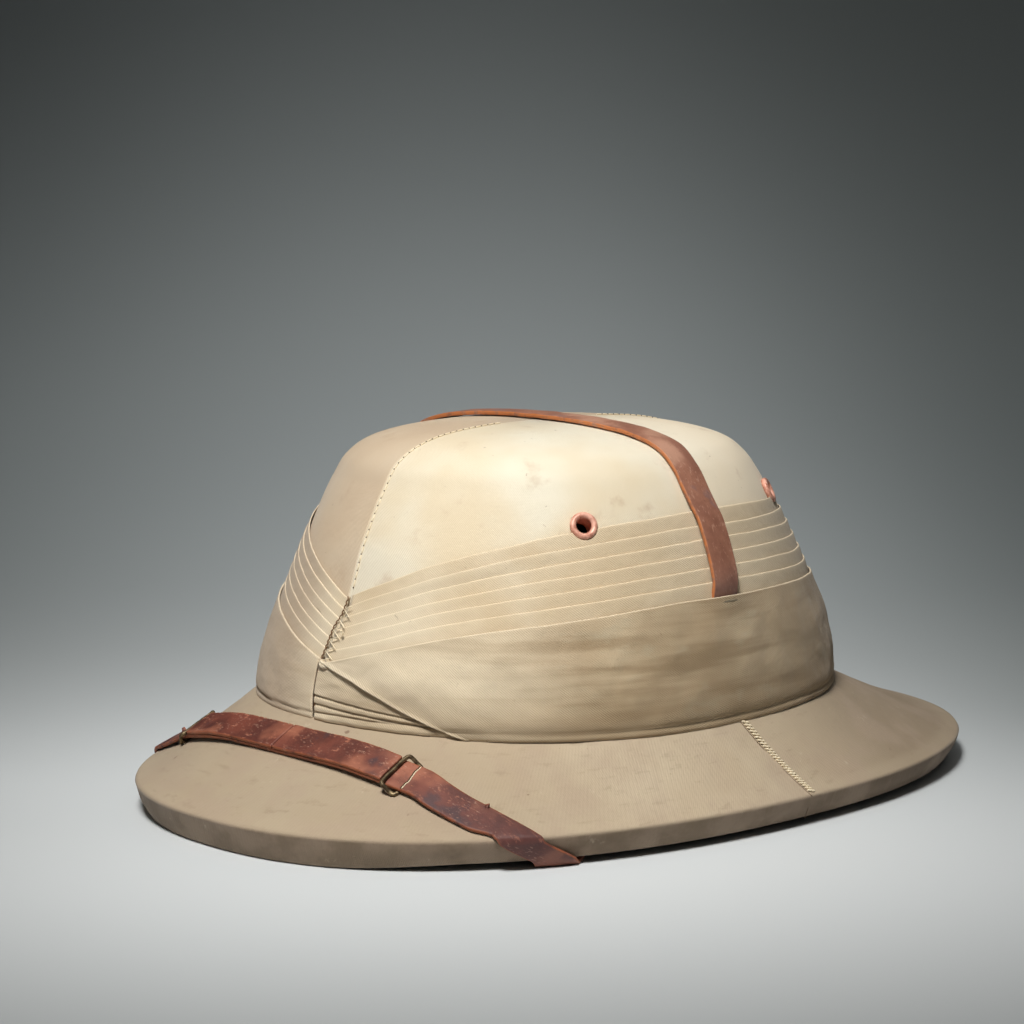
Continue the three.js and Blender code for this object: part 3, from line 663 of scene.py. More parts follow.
def pleat_place(k):
    def place(u, v):
        step = round(v * (FOLD_STEPS + FACE_STEPS))
        top_guess = fold_height(360.0 * u, k)
        seam = seam_turn(top_guess)
        turn = lerp(seam + SEAM_HALF, 360.0 + seam - SEAM_HALF, u)
        top = fold_height(turn, k)
        foot = fold_height(turn, k + 1) - PLEAT_BELOW
        edge, low = pleat_prouds(k, turn)
        if step < FOLD_STEPS:
            angle = math.pi * (1.0 - step / (FOLD_STEPS - 2)) if step > 0 else math.pi
            proud = edge - FOLD_RADIUS + FOLD_RADIUS * math.cos(max(angle, 0.0))
            z = top - FOLD_RADIUS + FOLD_RADIUS * math.sin(max(angle, 0.0))
            if step == 0:
                z -= 0.0008
            # Painted highlight, with rubbing wear: the fold's top, where it faces up into the light,
            # is marked to be painted pale.
            wear_and_highlight = math.sin(max(angle, 0.0)) ** 2
        else:
            share = (step - FOLD_STEPS + 1) / FACE_STEPS
            z = lerp(top - FOLD_RADIUS, foot, share)
            sag = 0.0001 * math.sin(math.pi * share)
            creased = 0.00013 * wander(turn, z, 50 + k, 0.004) * math.sin(math.pi * share)
            proud = lerp(edge, low, smoothstep(0.0, 1.0, share)) - sag + creased
            wear_and_highlight = 0.0
        point = on_crown(turn, z, proud)
        return point, (math.radians(turn) * PLEAT_REACH, z), wear_and_highlight
    return place


def cut_round_eyelets(piece, radius):
    bm = bmesh.new()
    bm.from_mesh(piece.data)
    for turn, z in EYELETS.values():
        centre, out = on_crown(turn, z), crown_normal(turn, z)

        def off_axis(point):
            off = point - centre
            return (off - out * off.dot(out)).length if off.length < 0.02 else 1.0

        near = [f for f in bm.faces if off_axis(f.calc_center_median()) < radius]
        bmesh.ops.delete(bm, geom=near, context="FACES")
        for vert in bm.verts:
            off = vert.co - centre
            if vert.is_boundary and off_axis(vert.co) < radius + 0.0012:
                rise = off.dot(out)
                vert.co = centre + out * rise + (off - out * rise).normalized() * radius
    bm.to_mesh(piece.data)
    bm.free()


pleats = []
for k in range(PLEAT_COUNT):
    pleat = surface(f"pleat_fold_{k + 1}", 560, FOLD_STEPS + FACE_STEPS, pleat_place(k), CLOTH,
                    marks=("wear_and_highlight",))
    if k < 2:
        cut_round_eyelets(pleat, 0.0050)
    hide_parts(f"pleat_{k + 1}")
    pleats.append(pleat)

PLEAT_CREAM = rgb(232, 217, 190)
PLEAT_TAN = rgb(218, 197, 164)
PLEAT_PINK = rgb(176, 153, 131)
PLEAT_PALE = rgb(230, 215, 188)
BAND_TAN = rgb(178, 155, 124)
BAND_DARK = rgb(142, 118, 86)
BAND_DUST = rgb(196, 186, 160)


def puggaree(name, is_band):
    """The puggaree's cotton. The band is darker and dustier than the pleats."""
    made, shader, place, cut = material(name, 0.92, sheen=0.12)
    x, y, z = parts(place)
    clouds = place.noise(0.04, 3.0, at=11.0)
    if is_band:
        base = clouds.between(0.3, 0.7).tint(BAND_TAN, PLEAT_TAN)
        # Painted shade: dark streaks running round the band stand in for the shade in its folds.
        folds = place.noise(0.03, 3.0, 0.55, stretch=(0.35, 0.35, 4.0), at=12.0)
        base = (folds.between(0.44, 0.66) * 0.7).tint(base, BAND_DARK)
        # Painted shade: the band's lower part is painted darker towards the sides and back.
        base = (y.between(-0.085, 0.02) * z.between(0.088, 0.052) * 0.35).tint(base, BAND_DARK)
        dust = place.noise(0.022, 4.0, 0.6, stretch=(0.8, 0.8, 2.0), at=14.0)
        base = (dust.between(0.55, 0.72) * 0.55).tint(base, BAND_DUST)
        # Painted light: the front of the band, which faces the key light, is painted pale cream, and
        # its painted fold shade is made fainter there.
        front = y.between(-0.062, -0.108) * (1.0 - folds.between(0.42, 0.6) * 0.35)
        base = (front * 0.9).tint(base, PLEAT_CREAM)
        # Painted shadow: the lower part of the band and of its inner end on the wearer's left is
        # painted darker.
        base = (z.between(0.060, 0.043) * x.between(-0.01, 0.03) * 0.45).tint(base, BAND_DARK)
    else:
        base = clouds.between(0.3, 0.7).tint(PLEAT_CREAM, PLEAT_TAN)
        # Painted light and shade: the pleats keep their pale cream at the front, which faces the key
        # light, and are painted tan towards the sides and back.
        base = (y.between(-0.09, 0.0) * (clouds + 0.2) * 0.9).tint(base, PLEAT_TAN)
    # Painted shade, partly a pinker tone: the wearer's right side, away from the key light, is painted
    # darker and pinker.
    base = (x.between(0.0, -0.03) * 0.7).tint(base, PLEAT_PINK)
    # Painted shade: the back half is painted much darker, as it lies away from the key light.
    base = (y.between(0.0, 0.09) * 0.72).tint(base, BAND_DARK)
    specks = place.noise(0.004, 3.0, 0.6, at=15.0).between(0.68, 0.8) * 0.45
    base = specks.tint(base, rgb(118, 92, 64))
    weave = twill(cut, 0.0011, 1.35) * 0.7 + place.noise(0.0012, 2.0, 0.7) * 0.3
    base = ((1.0 - weave) * (0.5 if is_band else 0.34)).tint(base, BAND_DARK)
    # Painted highlight, with rubbing wear: a pale colour is painted where the folded edges are marked.
    wear_and_highlight = place.node("Attribute", attribute_name="wear_and_highlight", out=2)
    base = (wear_and_highlight * (place.noise(0.006, 3.0, 0.7) * 1.3)).tint(base, PLEAT_PALE)
    feed(shader.inputs["Base Color"], base)
    height = weave * (0.8 if is_band else 0.6) + place.noise(0.003, 3.0) * 0.9
    feed(shader.inputs["Normal"], height.relief(0.00022))
    return made


pleat_cloth = puggaree("puggaree_pleats", False)
band_cloth = puggaree("puggaree_band", True)
for pleat in pleats:
    dress(pleat, pleat_cloth)

# ---- wide band ----
# The lower puggaree: the strip's last turn, 20 to 44 mm wide, folded over along its top edge. Its
# outer end is folded slantwise down from the front seam to the brim, over the end that the
# winding began with. Share of the band's height, with the turn where the slanting edge is:
BAND_START = [(0.0, 33.5), (0.123, 26.5), (0.34, 17.0), (0.755, 4.0), (1.0, -1.6)]
BAND_FOOT_Z = 0.0404
BAND_STEPS = 40
BAND_THICK = 0.0006
BAND_REACH = 0.108
HEM = 0.0024


def band_face(turn, share):
    """How far the band's outer face stands from the crown, share being its height from 0 to 1."""
    settled = smoothstep(45.0, 80.0, turn)
    flat = smoothstep(258.0, 300.0, turn)
    belly = math.sin(math.pi * min(share * 1.1, 1.0))
    proud = lerp(0.0045, 0.0041, settled) + 0.0006 * belly
    proud = lerp(proud, 0.0027, flat)
    z = share * 0.042
    pull = 0.0007 * wander(turn, z, 61, 0.011) + 0.0003 * wander(turn, z, 62, 0.0045)
    pull = (pull + 0.0011 * wander(turn * 0.45, z, 63, 0.014)) * lerp(1.0, 0.5, flat)
    pull *= math.sin(math.pi * min(max(share, 0.04), 0.98)) ** 0.5
    under_strap = 0.0016 * max(bump(turn, 89.3, 9.0), bump(turn, 270.7, 9.0)) * share ** 3
    return proud + pull + under_strap


def hemmed(share, height):
    """The rolled hem at the foot: a swell with a groove above it."""
    above = share * height
    return 0.0004 * bump(above, 0.0011, 0.0011) - 0.0006 * bump(above, HEM + 0.0003, 0.0006)


def foot_height(turn, proud):
    """Where a face that stands so far from the crown meets the top of the brim."""
    reach = (brim_line(turn, 0.0, CREASE_Z) - on_crown(turn, BRIM_TOP_Z, GAP)).to_2d().length
    return on_brim(turn, proud / reach).z + 0.0004


def band_place(u, v):
    step = round(v * BAND_STEPS)
    fold = 6
    if step > BAND_STEPS - fold:
        share, angle = 1.0, (step - BAND_STEPS + fold) / fold * math.pi
    else:
        share, angle = (step / (BAND_STEPS - fold)) ** 1.15, 0.0
    start = read(BAND_START, share)[0]
    end = 360.0 - SEAM_HALF + seam_turn(lerp(BAND_FOOT_Z, 0.0604, share))
    # More columns close to the slanting edge, which is rolled in.
    turn = lerp(start, end, u ** 1.25)
    top = fold_height(turn, PLEAT_COUNT)
    z = lerp(foot_height(turn, 0.0033), top, share) - (0.0006 if share == 1.0 else 0.0)
    if turn < 60.0:
        z = min(z, top)
    proud = band_face(turn, share) + hemmed(share, top - BAND_FOOT_Z)
    proud -= 0.0010 * bump(share, 0.0, 0.16)
    rolled = bump(turn - start, 0.0, 0.9)
    lifted = bump(turn - start, 1.1, 1.5) * 0.0004 - bump(turn - start, 0.0, 11.0) * 0.0008
    proud += lifted - 0.0016 * rolled
    # Painted highlight, with rubbing wear: the rolled slanting edge and the fold along the top are
    # marked to be painted pale.
    wear_and_highlight = 0.95 * bump(turn - start, 0.7, 1.1)
    if angle > 0.0:
        proud += 0.0004 * (math.cos(angle) - 1.0)
        z += 0.0004 * math.sin(angle) - (0.002 if step == BAND_STEPS else 0.0)
        wear_and_highlight = max(wear_and_highlight, math.sin(min(angle, 2.6)))
    return on_crown(turn, z, proud), (math.radians(turn) * BAND_REACH, z), wear_and_highlight


band = surface("band_wrap", 900, BAND_STEPS, band_place, BAND_THICK, marks=("wear_and_highlight",))
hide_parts("puggaree_band")
dress(band, band_cloth)

TAIL_TOP_Z = 0.0612
# Height, with the turn where the inner end stops behind the slanting edge.
TAIL_END = [(0.0404, 37.0), (0.0444, 30.0), (0.0495, 20.5), (0.0571, 8.0), (0.0604, 3.0)]


def tail_place(u, v):
    share = v
    start = seam_turn(lerp(BAND_FOOT_Z, 0.0604, share)) + SEAM_HALF
    guess = lerp(BAND_FOOT_Z, TAIL_TOP_Z - 0.001, share)
    turn = lerp(start, read(TAIL_END, guess)[0], u)
    z = lerp(foot_height(turn, 0.0022), min(TAIL_TOP_Z, fold_height(turn, PLEAT_COUNT) - 0.002), share)
    proud = 0.0029 + 0.0003 * wander(turn * 0.5, z, 71, 0.0045) - 0.0012 * smoothstep(0.8, 1.0, u)
    proud += 0.00025 * wander(turn * 0.5, z, 72, 0.0022)
    for height, slope in ((0.0475, -0.00014), (0.0445, -0.00009)):
        proud -= 0.0009 * bump(z, height + slope * turn, 0.0007)
    proud += hemmed(share, 0.02) - 0.0007 * bump(share, 0.0, 0.25)
    return on_crown(turn, z, proud), (math.radians(turn) * BAND_REACH, z), 0.0


tail = surface("band_inner_end", 160, 60, tail_place, BAND_THICK, marks=("wear_and_highlight",))
dress(tail, band_cloth)

# ---- front seam of the puggaree ----
# A brown thread closes the pleats and the band in the middle of the front. Beside it the ends of
# the pleats are caught down with small crossed stitches, and a loose end is knotted.
seam_runs = []
for i in range(44):
    z = lerp(0.0436, 0.0838, i / 44)
    turn = seam_turn(z) + (0.14 if i % 2 else -0.14)
    next_z = lerp(0.0436, 0.0838, (i + 1) / 44)
    next_turn = seam_turn(next_z) - (0.14 if i % 2 else -0.14)
    a, b = on_crown(turn, z, 0.0022), on_crown(next_turn, next_z, 0.0022)
    seam_runs.append((a, b, crown_normal(0.0, z)))
seam_thread = stitches("puggaree_seam_thread", seam_runs, 0.00028)
brown_thread, shader, place, cut = material("brown_thread", 0.9)
feed(shader.inputs["Base Color"], place.noise(0.003).tint(rgb(92, 62, 38), rgb(124, 90, 58)))
dress(seam_thread, brown_thread)

caught = []
for k in range(1, 7):
    z = fold_height(0.0, k)
    turn = seam_turn(z)
    for rise in (0.0016, -0.0026):
        a = on_crown(turn + 0.5, z, 0.0029)
        b = on_crown(turn + 2.4, z + rise, 0.0030)
        caught.append((a, b, crown_normal(1.0, z)))
caught_thread = stitches("pleat_end_stitches", caught, 0.00022)
dress(caught_thread, thread_cloth)
knot_middle = on_crown(2.4, 0.0716, 0.0036)
knot = []
for i in range(5):
    way = Vector((math.cos(i * 2.1), 0.3 * math.sin(i), math.sin(i * 2.1))) * 0.0009
    knot.append((knot_middle - way, knot_middle + way * 0.8, Vector((0.2, -1.0, 0.0))))
thread_knot = stitches("loose_thread_knot", knot, 0.00035)
dress(thread_knot, thread_cloth)

# ---- eyelets ----
# Four painted brass eyelets, each a rolled flange on the cloth with a barrel through the wall.
FLANGE_TUBE = 0.0012
FLANGE_MIDDLE = 0.004
BARREL = 0.0031
eyelet_paint, shader, place, cut = material("eyelet_paint", 0.42, metallic=0.1)
wear_and_highlight = place.noise(0.0025, 4.0, 0.65, at=21.0)
base = wear_and_highlight.between(0.35, 0.65).tint(rgb(236, 180, 158), rgb(200, 136, 114))
base = (wear_and_highlight.between(0.62, 0.72) * 0.7).tint(base, rgb(96, 62, 46))
feed(shader.inputs["Base Color"], base)
feed(shader.inputs["Normal"], wear_and_highlight.relief(0.0001))


def frame_at(point, out):
    """A matrix that stands a piece on a point, its z axis pointing out."""
    turned = out.to_track_quat("Z", "Y").to_matrix().to_4x4()
    return Matrix.Translation(point) @ turned


for name, (turn, z) in EYELETS.items():
    bm = bmesh.new()
    ring = bmesh.ops.create_circle(bm, segments=16, radius=FLANGE_TUBE, matrix=(
        Matrix.Translation((FLANGE_MIDDLE, 0, 0.0006)) @ Matrix.Rotation(math.pi / 2, 4, "X")))
    bmesh.ops.spin(bm, geom=ring["verts"] + list({e for v in ring["verts"] for e in v.link_edges}),
                   cent=(0, 0, 0), axis=(0, 0, 1), angle=2 * math.pi, steps=40, use_merge=True)
    bmesh.ops.create_cone(bm, cap_ends=False, segments=40, radius1=BARREL, radius2=BARREL,
                          depth=0.0085, matrix=Matrix.Translation((0, 0, -0.0036)))
    stand = on_crown(turn, z, 0.0003)
    bmesh.ops.transform(bm, matrix=frame_at(stand, crown_normal(turn, z)), verts=bm.verts[:])
    for face in bm.faces:
        face.smooth = True
    eyelet = finished(f"eyelet_ring_{name}", bm)
    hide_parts(f"eyelet_{name}")
    dress(eyelet, eyelet_paint)

# ---- crown strap ----
# A brown leather strap over the top from side to side. It bridges the pleats, and each end is
# tucked down behind the wide band's edge. Its cut edges are worn to the raw orange leather.
STRAP_Y = -0.0093
STRAP_WIDTH = 0.0128
STRAP_THICK = 0.0016
# Height, and how far the strap's inner face stands off the crown there:
STRAP_STANDS = [(0.070, 0.0003), (0.078, 0.0010), (0.0835, 0.0022), (0.088, 0.0036),
                (0.094, 0.0039), (0.100, 0.0036), (0.106, 0.0032), (0.1105, 0.0027), (0.116, 0.0013),
                (0.122, 0.0006), (0.130, 0.0005), (0.1428, 0.0005)]


def half_width(step, y):
    """Half the crown's width across it at y, in one of its closely read sections."""
    _, front, side, back, square = step
    ahead = CROWN_Y - y
    share = min(abs(ahead) / max(front if ahead > 0 else back, 1e-6), 1.0)
    return side * (1.0 - share ** square) ** (1.0 / square)


def strap_side(y):
    """Points up the left side of the crown and over to its middle, in the plane y."""
    line = []
    for step in crown_steps:
        if step[0] < 0.0775:
            continue
        across = half_width(step, y)
        if across > 0.002:
            line.append(Vector((across, y, step[0])))
    line.append(Vector((0.0, y, line[-1].z + 0.00015)))
    return line


def resampled(line, count):
    """The same line as evenly spaced points, each with its share of the run."""
    run = [0.0]
    for a, b in zip(line, line[1:]):
        run.append(run[-1] + (b - a).length)
    found = []
    for i in range(count + 1):
        at = run[-1] * i / count
        n = min(max(bisect.bisect_right(run, at) - 1, 0), len(line) - 2)
        found.append(line[n].lerp(line[n + 1], (at - run[n]) / max(run[n + 1] - run[n], 1e-9)))
    return found, run[-1]


STRAP_STEPS = 240
STRAP_ACROSS = 28
left_side = strap_side(STRAP_Y)
whole = left_side + [Vector((-p.x, p.y, p.z)) for p in reversed(left_side[:-1])]
strap_line, strap_length = resampled(whole, STRAP_STEPS)
strap_proud = []
for i, point in enumerate(strap_line):
    ahead = strap_line[min(i + 1, STRAP_STEPS)] - strap_line[max(i - 1, 0)]
    out = Vector((ahead.z, 0.0, -ahead.x)).normalized()
    strap_proud.append((point + out * read(STRAP_STANDS, point.z)[0], out))


def strap_place(u, v):
    i = round(v * STRAP_STEPS)
    middle, out = strap_proud[i]
    across = (u - 0.5) * (1.0 + 0.02 * noise.noise(Vector((v * 40, 3.0, 0.0))))
    hump = 0.0004 * (1.0 - (2 * u - 1) ** 2) + 0.0002 * noise.noise(Vector((v * 30, u * 2, 7.0)))
    outer = middle + out * (STRAP_THICK + hump) + Vector((0.0, across * STRAP_WIDTH, 0.0))
    rim = smoothstep(0.92, 1.0, abs(2 * u - 1))
    return outer, (v * strap_length, u * STRAP_WIDTH), rim * (0.9 if u < 0.5 else 0.1), v


strap = surface("strap_over_crown", STRAP_ACROSS, STRAP_STEPS, strap_place, STRAP_THICK,
                marks=("wear_and_highlight", "run"))
bevel = strap.modifiers.new("edge", "BEVEL")
bevel.width = 0.0003
bevel.segments = 2
bevel.limit_method = "ANGLE"
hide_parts("crown_strap")


def leather(name, dark, middle, light, edge, purple, scuffed):
    """Old vegetable-tanned leather: blotched, scuffed along the fibres and raw at its edges."""
    made, shader, place, cut = material(name, 0.55)
    blotch = place.noise(0.012, 4.0, 0.6, at=31.0)
    base = blotch.between(0.3, 0.7).tint(dark, middle)
    base = (place.noise(0.02, 3.0, at=33.0).between(0.5, 0.68) * 0.8).tint(base, light)
    base = (place.noise(0.018, 3.0, 0.6, at=36.0).between(0.56, 0.66) * 0.75).tint(base, purple)
    cracks = cut.noise(0.0022, 4.0, 0.7, stretch=(0.45, 1.0, 1.0), at=34.0)
    base = (cracks.between(0.58, 0.68) * scuffed).tint(base, light)
    pits = place.noise(0.0012, 3.0, 0.7, at=35.0)
    base = (pits.between(0.62, 0.72) * 0.5).tint(base, rgb(52, 26, 20))
    flecks = cut.noise(0.0009, 3.0, 0.7, stretch=(0.5, 1.0, 1.0), at=38.0)
    patches = place.noise(0.014, 2.0, at=39.0).between(0.42, 0.6)
    base = (flecks.between(0.57, 0.66) * patches * 0.6).tint(base, rgb(196, 152, 130))
    x, y, z = parts(place)
    lower = z.between(0.1, 0.083) * z.between(0.05, 0.06) + z.between(0.03, 0.018)
    base = (lower * 0.35).tint(base, purple)
    wear_and_highlight = place.node("Attribute", attribute_name="wear_and_highlight", out=2)
    rubbed = wear_and_highlight * place.noise(0.004, 3.0, 0.6, at=37.0).between(0.3, 0.55)
    base = rubbed.tint(base, edge)
    feed(shader.inputs["Base Color"], base)
    feed(shader.inputs["Roughness"], 0.42 + cracks * 0.3)
    feed(shader.inputs["Normal"], (pits * 0.6 + cracks * 0.5 + blotch).relief(0.00022))
    return made


strap_brown = leather("crown_strap_leather", rgb(132, 86, 68), rgb(160, 110, 88), rgb(188, 142, 118),
                      rgb(196, 118, 66), rgb(124, 98, 96), 0.6)
dress(strap, strap_brown)
cross = [(Vector((0.004, -0.0152, 0.1442)), Vector((-0.001, -0.0090, 0.1452)), Vector((0, 0, 1))),
         (Vector((-0.001, -0.0090, 0.1452)), Vector((-0.004, -0.0030, 0.1444)), Vector((0, 0, 1)))]
cross_thread = stitches("crown_strap_thread", cross, 0.0003)
dress(cross_thread, thread_cloth)

# ---- chin strap ----
# A whole loop of red-brown leather, put up over the peak. Each side folds over the rim, goes on
# under the brim to the collar and up the inside of the crown, where a rivet holds it. Turn, share
# of the way from the crown to the crease, and how far it stands off the brim:
CHIN_WIDTH = 0.013
CHIN_THICK = 0.0013
CHIN_ACROSS = 22
CHIN_LINE = [(0.0, 0.25, 0.0007), (7.0, 0.26, 0.0009), (14.0, 0.285, 0.0014),
             (20.0, 0.335, 0.0020), (26.0, 0.40, 0.0020), (32.0, 0.485, 0.0020),
             (35.0, 0.56, 0.0018), (39.0, 0.66, 0.0011), (45.0, 0.825, 0.0008)]
CHIN_EDGE_TURN = 50.3
CHIN_UNDER_TURN = 55.2
CHIN_SKEW = math.radians(54.0)
CHIN_CLEAR = 0.00075
CHIN_SAG = 0.005
COLLAR_TURN = 64.0
COLLAR_SKEW = math.radians(46.0)
INSIDE_RUN = 0.026
WALL_LEAN = 0.0012


def chin_on_top(turn):
    """The strap's middle on the brim, its way along, half its width across, and out."""
    out, clear = read(CHIN_LINE, abs(turn))
    normal = brim_normal(turn, out)
    ahead = on_brim(turn + 1, read(CHIN_LINE, abs(turn + 1))[0])
    along = (ahead - on_brim(turn - 1, read(CHIN_LINE, abs(turn - 1))[0])).normalized()
    across = normal.cross(along).normalized() * (CHIN_WIDTH / 2)
    return on_brim(turn, out) + normal * clear, across, normal


def chin_on_rim(turn, inset, z, outwards, down):
    along = (brim_line(turn + 1, inset, z) - brim_line(turn - 1, inset, z)).normalized()
    radial = Vector((along.y, -along.x, 0.0)) * outwards
    normal = (radial + Vector((0.0, 0.0, -down))).normalized()
    across = along * (CHIN_WIDTH / 2 / math.sin(CHIN_SKEW))
    return brim_line(turn, inset, z) + normal * CHIN_CLEAR, across, normal


def chin_inside(run, clear):
    rise, around = run * math.sin(COLLAR_SKEW), run * math.cos(COLLAR_SKEW)
    turn = COLLAR_TURN + math.degrees(around / on_crown(COLLAR_TURN, CROWN_FOOT).length)
    z = COLLAR_UNDER_Z + rise

    def wall_at(at):
        point = on_crown(at, max(z, CROWN_FOOT), -CROWN_WALL)
        return Vector((point.x, point.y, z))

    round_way = (wall_at(turn + 1) - wall_at(turn - 1)).normalized()
    inward = Vector((-round_way.y, round_way.x, 0.0))
    along = round_way * math.cos(COLLAR_SKEW) + Vector((0, 0, math.sin(COLLAR_SKEW)))
    across = (round_way * (CHIN_WIDTH / 2 / math.sin(COLLAR_SKEW)) if run == 0
              else inward.cross(along) * (CHIN_WIDTH / 2))
    return wall_at(turn) + inward * clear, across, inward


def chin_stations():
    rim = rim_height(CHIN_UNDER_TURN)
    inset = EDGE_SLANT + EDGE_CHAMFER
    stops = [chin_on_top(0.5 + 1.5 * i) for i in range(31)]
    stops += [
        chin_on_rim(CHIN_EDGE_TURN, 0.0, CREASE_Z, 1.0, -0.75),
        chin_on_rim(CHIN_EDGE_TURN + 0.6, 0.0, CREASE_Z - 0.0014, 1.0, 0.1),
        chin_on_rim(CHIN_UNDER_TURN, EDGE_SLANT, rim + EDGE_CHAMFER, 1.0, 0.5),
        chin_on_rim(CHIN_UNDER_TURN + 0.6, inset, rim, 0.35, 1.0),
        chin_on_rim(CHIN_UNDER_TURN + 1.6, inset + LAND_WIDTH, rim, -0.3, 1.0),
    ]
    inside = [chin_inside(s * INSIDE_RUN, CHIN_CLEAR + s * WALL_LEAN) for s in (0, 0.5, 1)]
    a, b = stops[-1][0], inside[0][0]
    along = (b - a).normalized()
    flat_along = Vector((along.x, along.y, 0.0)).normalized()
    hang = a.lerp(b, 0.5) + Vector((0.0, 0.0, -CHIN_SAG))
    across = Vector((flat_along.y, -flat_along.x, 0.0)) * (CHIN_WIDTH / 2)
    stops.append((hang, across, Vector((0.0, 0.0, -1.0))))
    return stops + inside


def mirrored(stop):
    middle, across, normal = (Vector((-v.x, v.y, v.z)) for v in stop)
    return middle, across, normal


def along_stops(stops, count):
    """The stops joined by a smooth line, read at evenly spaced places."""
    run = [0.0]
    for a, b in zip(stops, stops[1:]):
        run.append(run[-1] + (b[0] - a[0]).length)
    rows = [(r, *stop[0], *stop[1], *stop[2]) for r, stop in zip(run, stops)]
    found = []
    for i in range(count + 1):
        values = read(rows, run[-1] * i / count)
        found.append((Vector(values[0:3]), Vector(values[3:6]), Vector(values[6:9]).normalized()))
    return found, run[-1]


def ribbon(name, line, length, rise, ragged=0.0):
    """A leather strap on a line of stops. Only its upper edge is ragged."""
    count = len(line) - 1

    def place(u, v):
        middle, across, normal = line[round(v * count)]
        jag = ragged * abs(noise.noise(Vector((v * length / 0.0011, 5.0, 0.0))))
        share = (2 * u - 1) * (1.0 - (jag if (u > 0.5) == (across.y > 0) else 0.0))
        wave = 0.00022 * noise.noise(Vector((v * length / 0.012, u * 1.5, 9.0)))
        cup = 0.0002 * (1.0 - (2 * u - 1) ** 2)
        point = middle + across * share + normal * (rise + CHIN_THICK + wave + cup)
        rim = 0.8 * smoothstep(0.9, 1.0, abs(2 * u - 1))
        return point, (v * length, u * CHIN_WIDTH), rim, v

    return surface(name, CHIN_ACROSS, count, place, CHIN_THICK, marks=("wear_and_highlight", "run"))


half = chin_stations()
chin_line, chin_length = along_stops([mirrored(s) for s in reversed(half)] + half, 700)
chin = ribbon("strap_over_peak", chin_line, chin_length, 0.0)
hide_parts("chin_strap")
chin_brown = leather("chin_strap_leather", rgb(84, 42, 34), rgb(118, 62, 48), rgb(164, 102, 78),
                     rgb(158, 88, 56), rgb(66, 46, 50), 0.9)
dress(chin, chin_brown)

FOLD_RISE = CHIN_THICK + GAP
for name, low, high in (("left", -0.8, 25.2), ("right", -29.7, -1.2)):
    stops = [chin_on_top(lerp(low, high, i / 24)) for i in range(25)]
    line, length = along_stops(stops, 160)
    fold = ribbon(f"strap_second_layer_{name}", line, length, FOLD_RISE,
                  ragged=0.16 if name == "right" else 0.05)
    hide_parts(f"strap_fold_{name}")
    dress(fold, chin_brown)

# Beside the left slider the outer layer has cracked across, down to the pale flesh of the hide.
CRACK_TURN = 29.9
crack_middle, crack_across, crack_out = chin_on_top(CRACK_TURN)
crack_along = crack_out.cross(crack_across).normalized()
crack = []
for i in range(10):
    a, b = (crack_middle + crack_across * lerp(-0.93, 0.93, n / 10) +
            crack_along * (0.0006 * noise.noise(Vector((n * 0.9, 2.0, 0.0))) + 0.0006 * (n > 5)) +
            crack_out * (CHIN_THICK + 0.00022) for n in (i, i + 1))
    crack.append((a, b, crack_out))
crack_edge = stitches("strap_crack_edge", crack, 0.00022)
dress(crack_edge, thread_cloth)
crack_shade = stitches("strap_crack_shade", [(a + crack_along * 0.0005, b + crack_along * 0.0005, out)
                                             for a, b, out in crack], 0.00025)
dress(crack_shade, needle_dark)

# ---- sliders ----
# Two flat frames of dark bronze wire that the folded strap is threaded through. One bar of each
# lies over the strap and the other under it.
WIRE = 0.0008
SLIDER_LENGTH = 0.0062
slider_brass, shader, place, cut = material("slider_brass", 0.45, metallic=0.8)
tarnish = place.noise(0.003, 4.0, 0.6, at=41.0)
feed(shader.inputs["Base Color"], tarnish.between(0.4, 0.75).tint(rgb(78, 64, 48),
                                                                  rgb(170, 150, 116)))
feed(shader.inputs["Roughness"], 0.35 + tarnish * 0.3)
feed(shader.inputs["Normal"], tarnish.relief(0.0001))


def rounded_loop(length, width, share):
    """A point of a rectangle with rounded corners, and its way out, a share of the way round."""
    angle = 2 * math.pi * share
    c, s = math.cos(angle), math.sin(angle)
    fit = (abs(c) ** 6 + abs(s) ** 6) ** (-1 / 6)
    out = Vector((c ** 5 / length, s ** 5 / width, 0.0)).normalized()
    return Vector((length / 2 * c * fit, width / 2 * s * fit, 0.0)), out


for name, turn in (("left", 26.0), ("right", -30.5)):
    middle, across, normal = chin_on_top(turn)
    further = chin_on_top(turn + math.copysign(1.0, turn))[0]
    along = (further - middle).normalized()
    wide = across.normalized()
    over = CHIN_THICK + GAP + WIRE
    under = -GAP - WIRE

    def slider_place(u, v):
        flat, out = rounded_loop(SLIDER_LENGTH, CHIN_WIDTH + 0.0032, u)
        tube = 2 * math.pi * v
        down = smoothstep(0.0004, 0.0058, flat.x + SLIDER_LENGTH / 2)
        at = middle + along * (flat.x + 0.003) + wide * flat.y + normal * lerp(over, under, down)
        outwards = along * out.x + wide * out.y
        point = at + outwards * (WIRE * math.cos(tube)) + normal * (WIRE * math.sin(tube))
        return point, (u * 0.04, v * 0.004)

    slider = surface(f"slider_wire_{name}", 96, 12, slider_place)
    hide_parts(f"slider_{name}")
    dress(slider, slider_brass)

# ---- rivets ----
# Each end of the chin strap is held to the inside of the crown by a plain brass rivet.
for name in ("anchor_left", "anchor_right"):
    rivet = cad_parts[name]
    rivet.data.materials.clear()
    rivet.data.materials.append(slider_brass)

# ---- setting ----
# A pale floor that curves up into a grey backdrop, a soft light in front and above, one over the
# backdrop, a faint one from behind, and the camera in front of the wearer's left side.
AZIMUTH = math.radians(46.24)
ELEVATION = math.radians(9.77)
AIM = Vector((0.0, 0.003, 0.060))
DISTANCE = 1.1
towards = Vector((math.sin(AZIMUTH), -math.cos(AZIMUTH), 0.0))
sideways = Vector((math.cos(AZIMUTH), math.sin(AZIMUTH), 0.0))

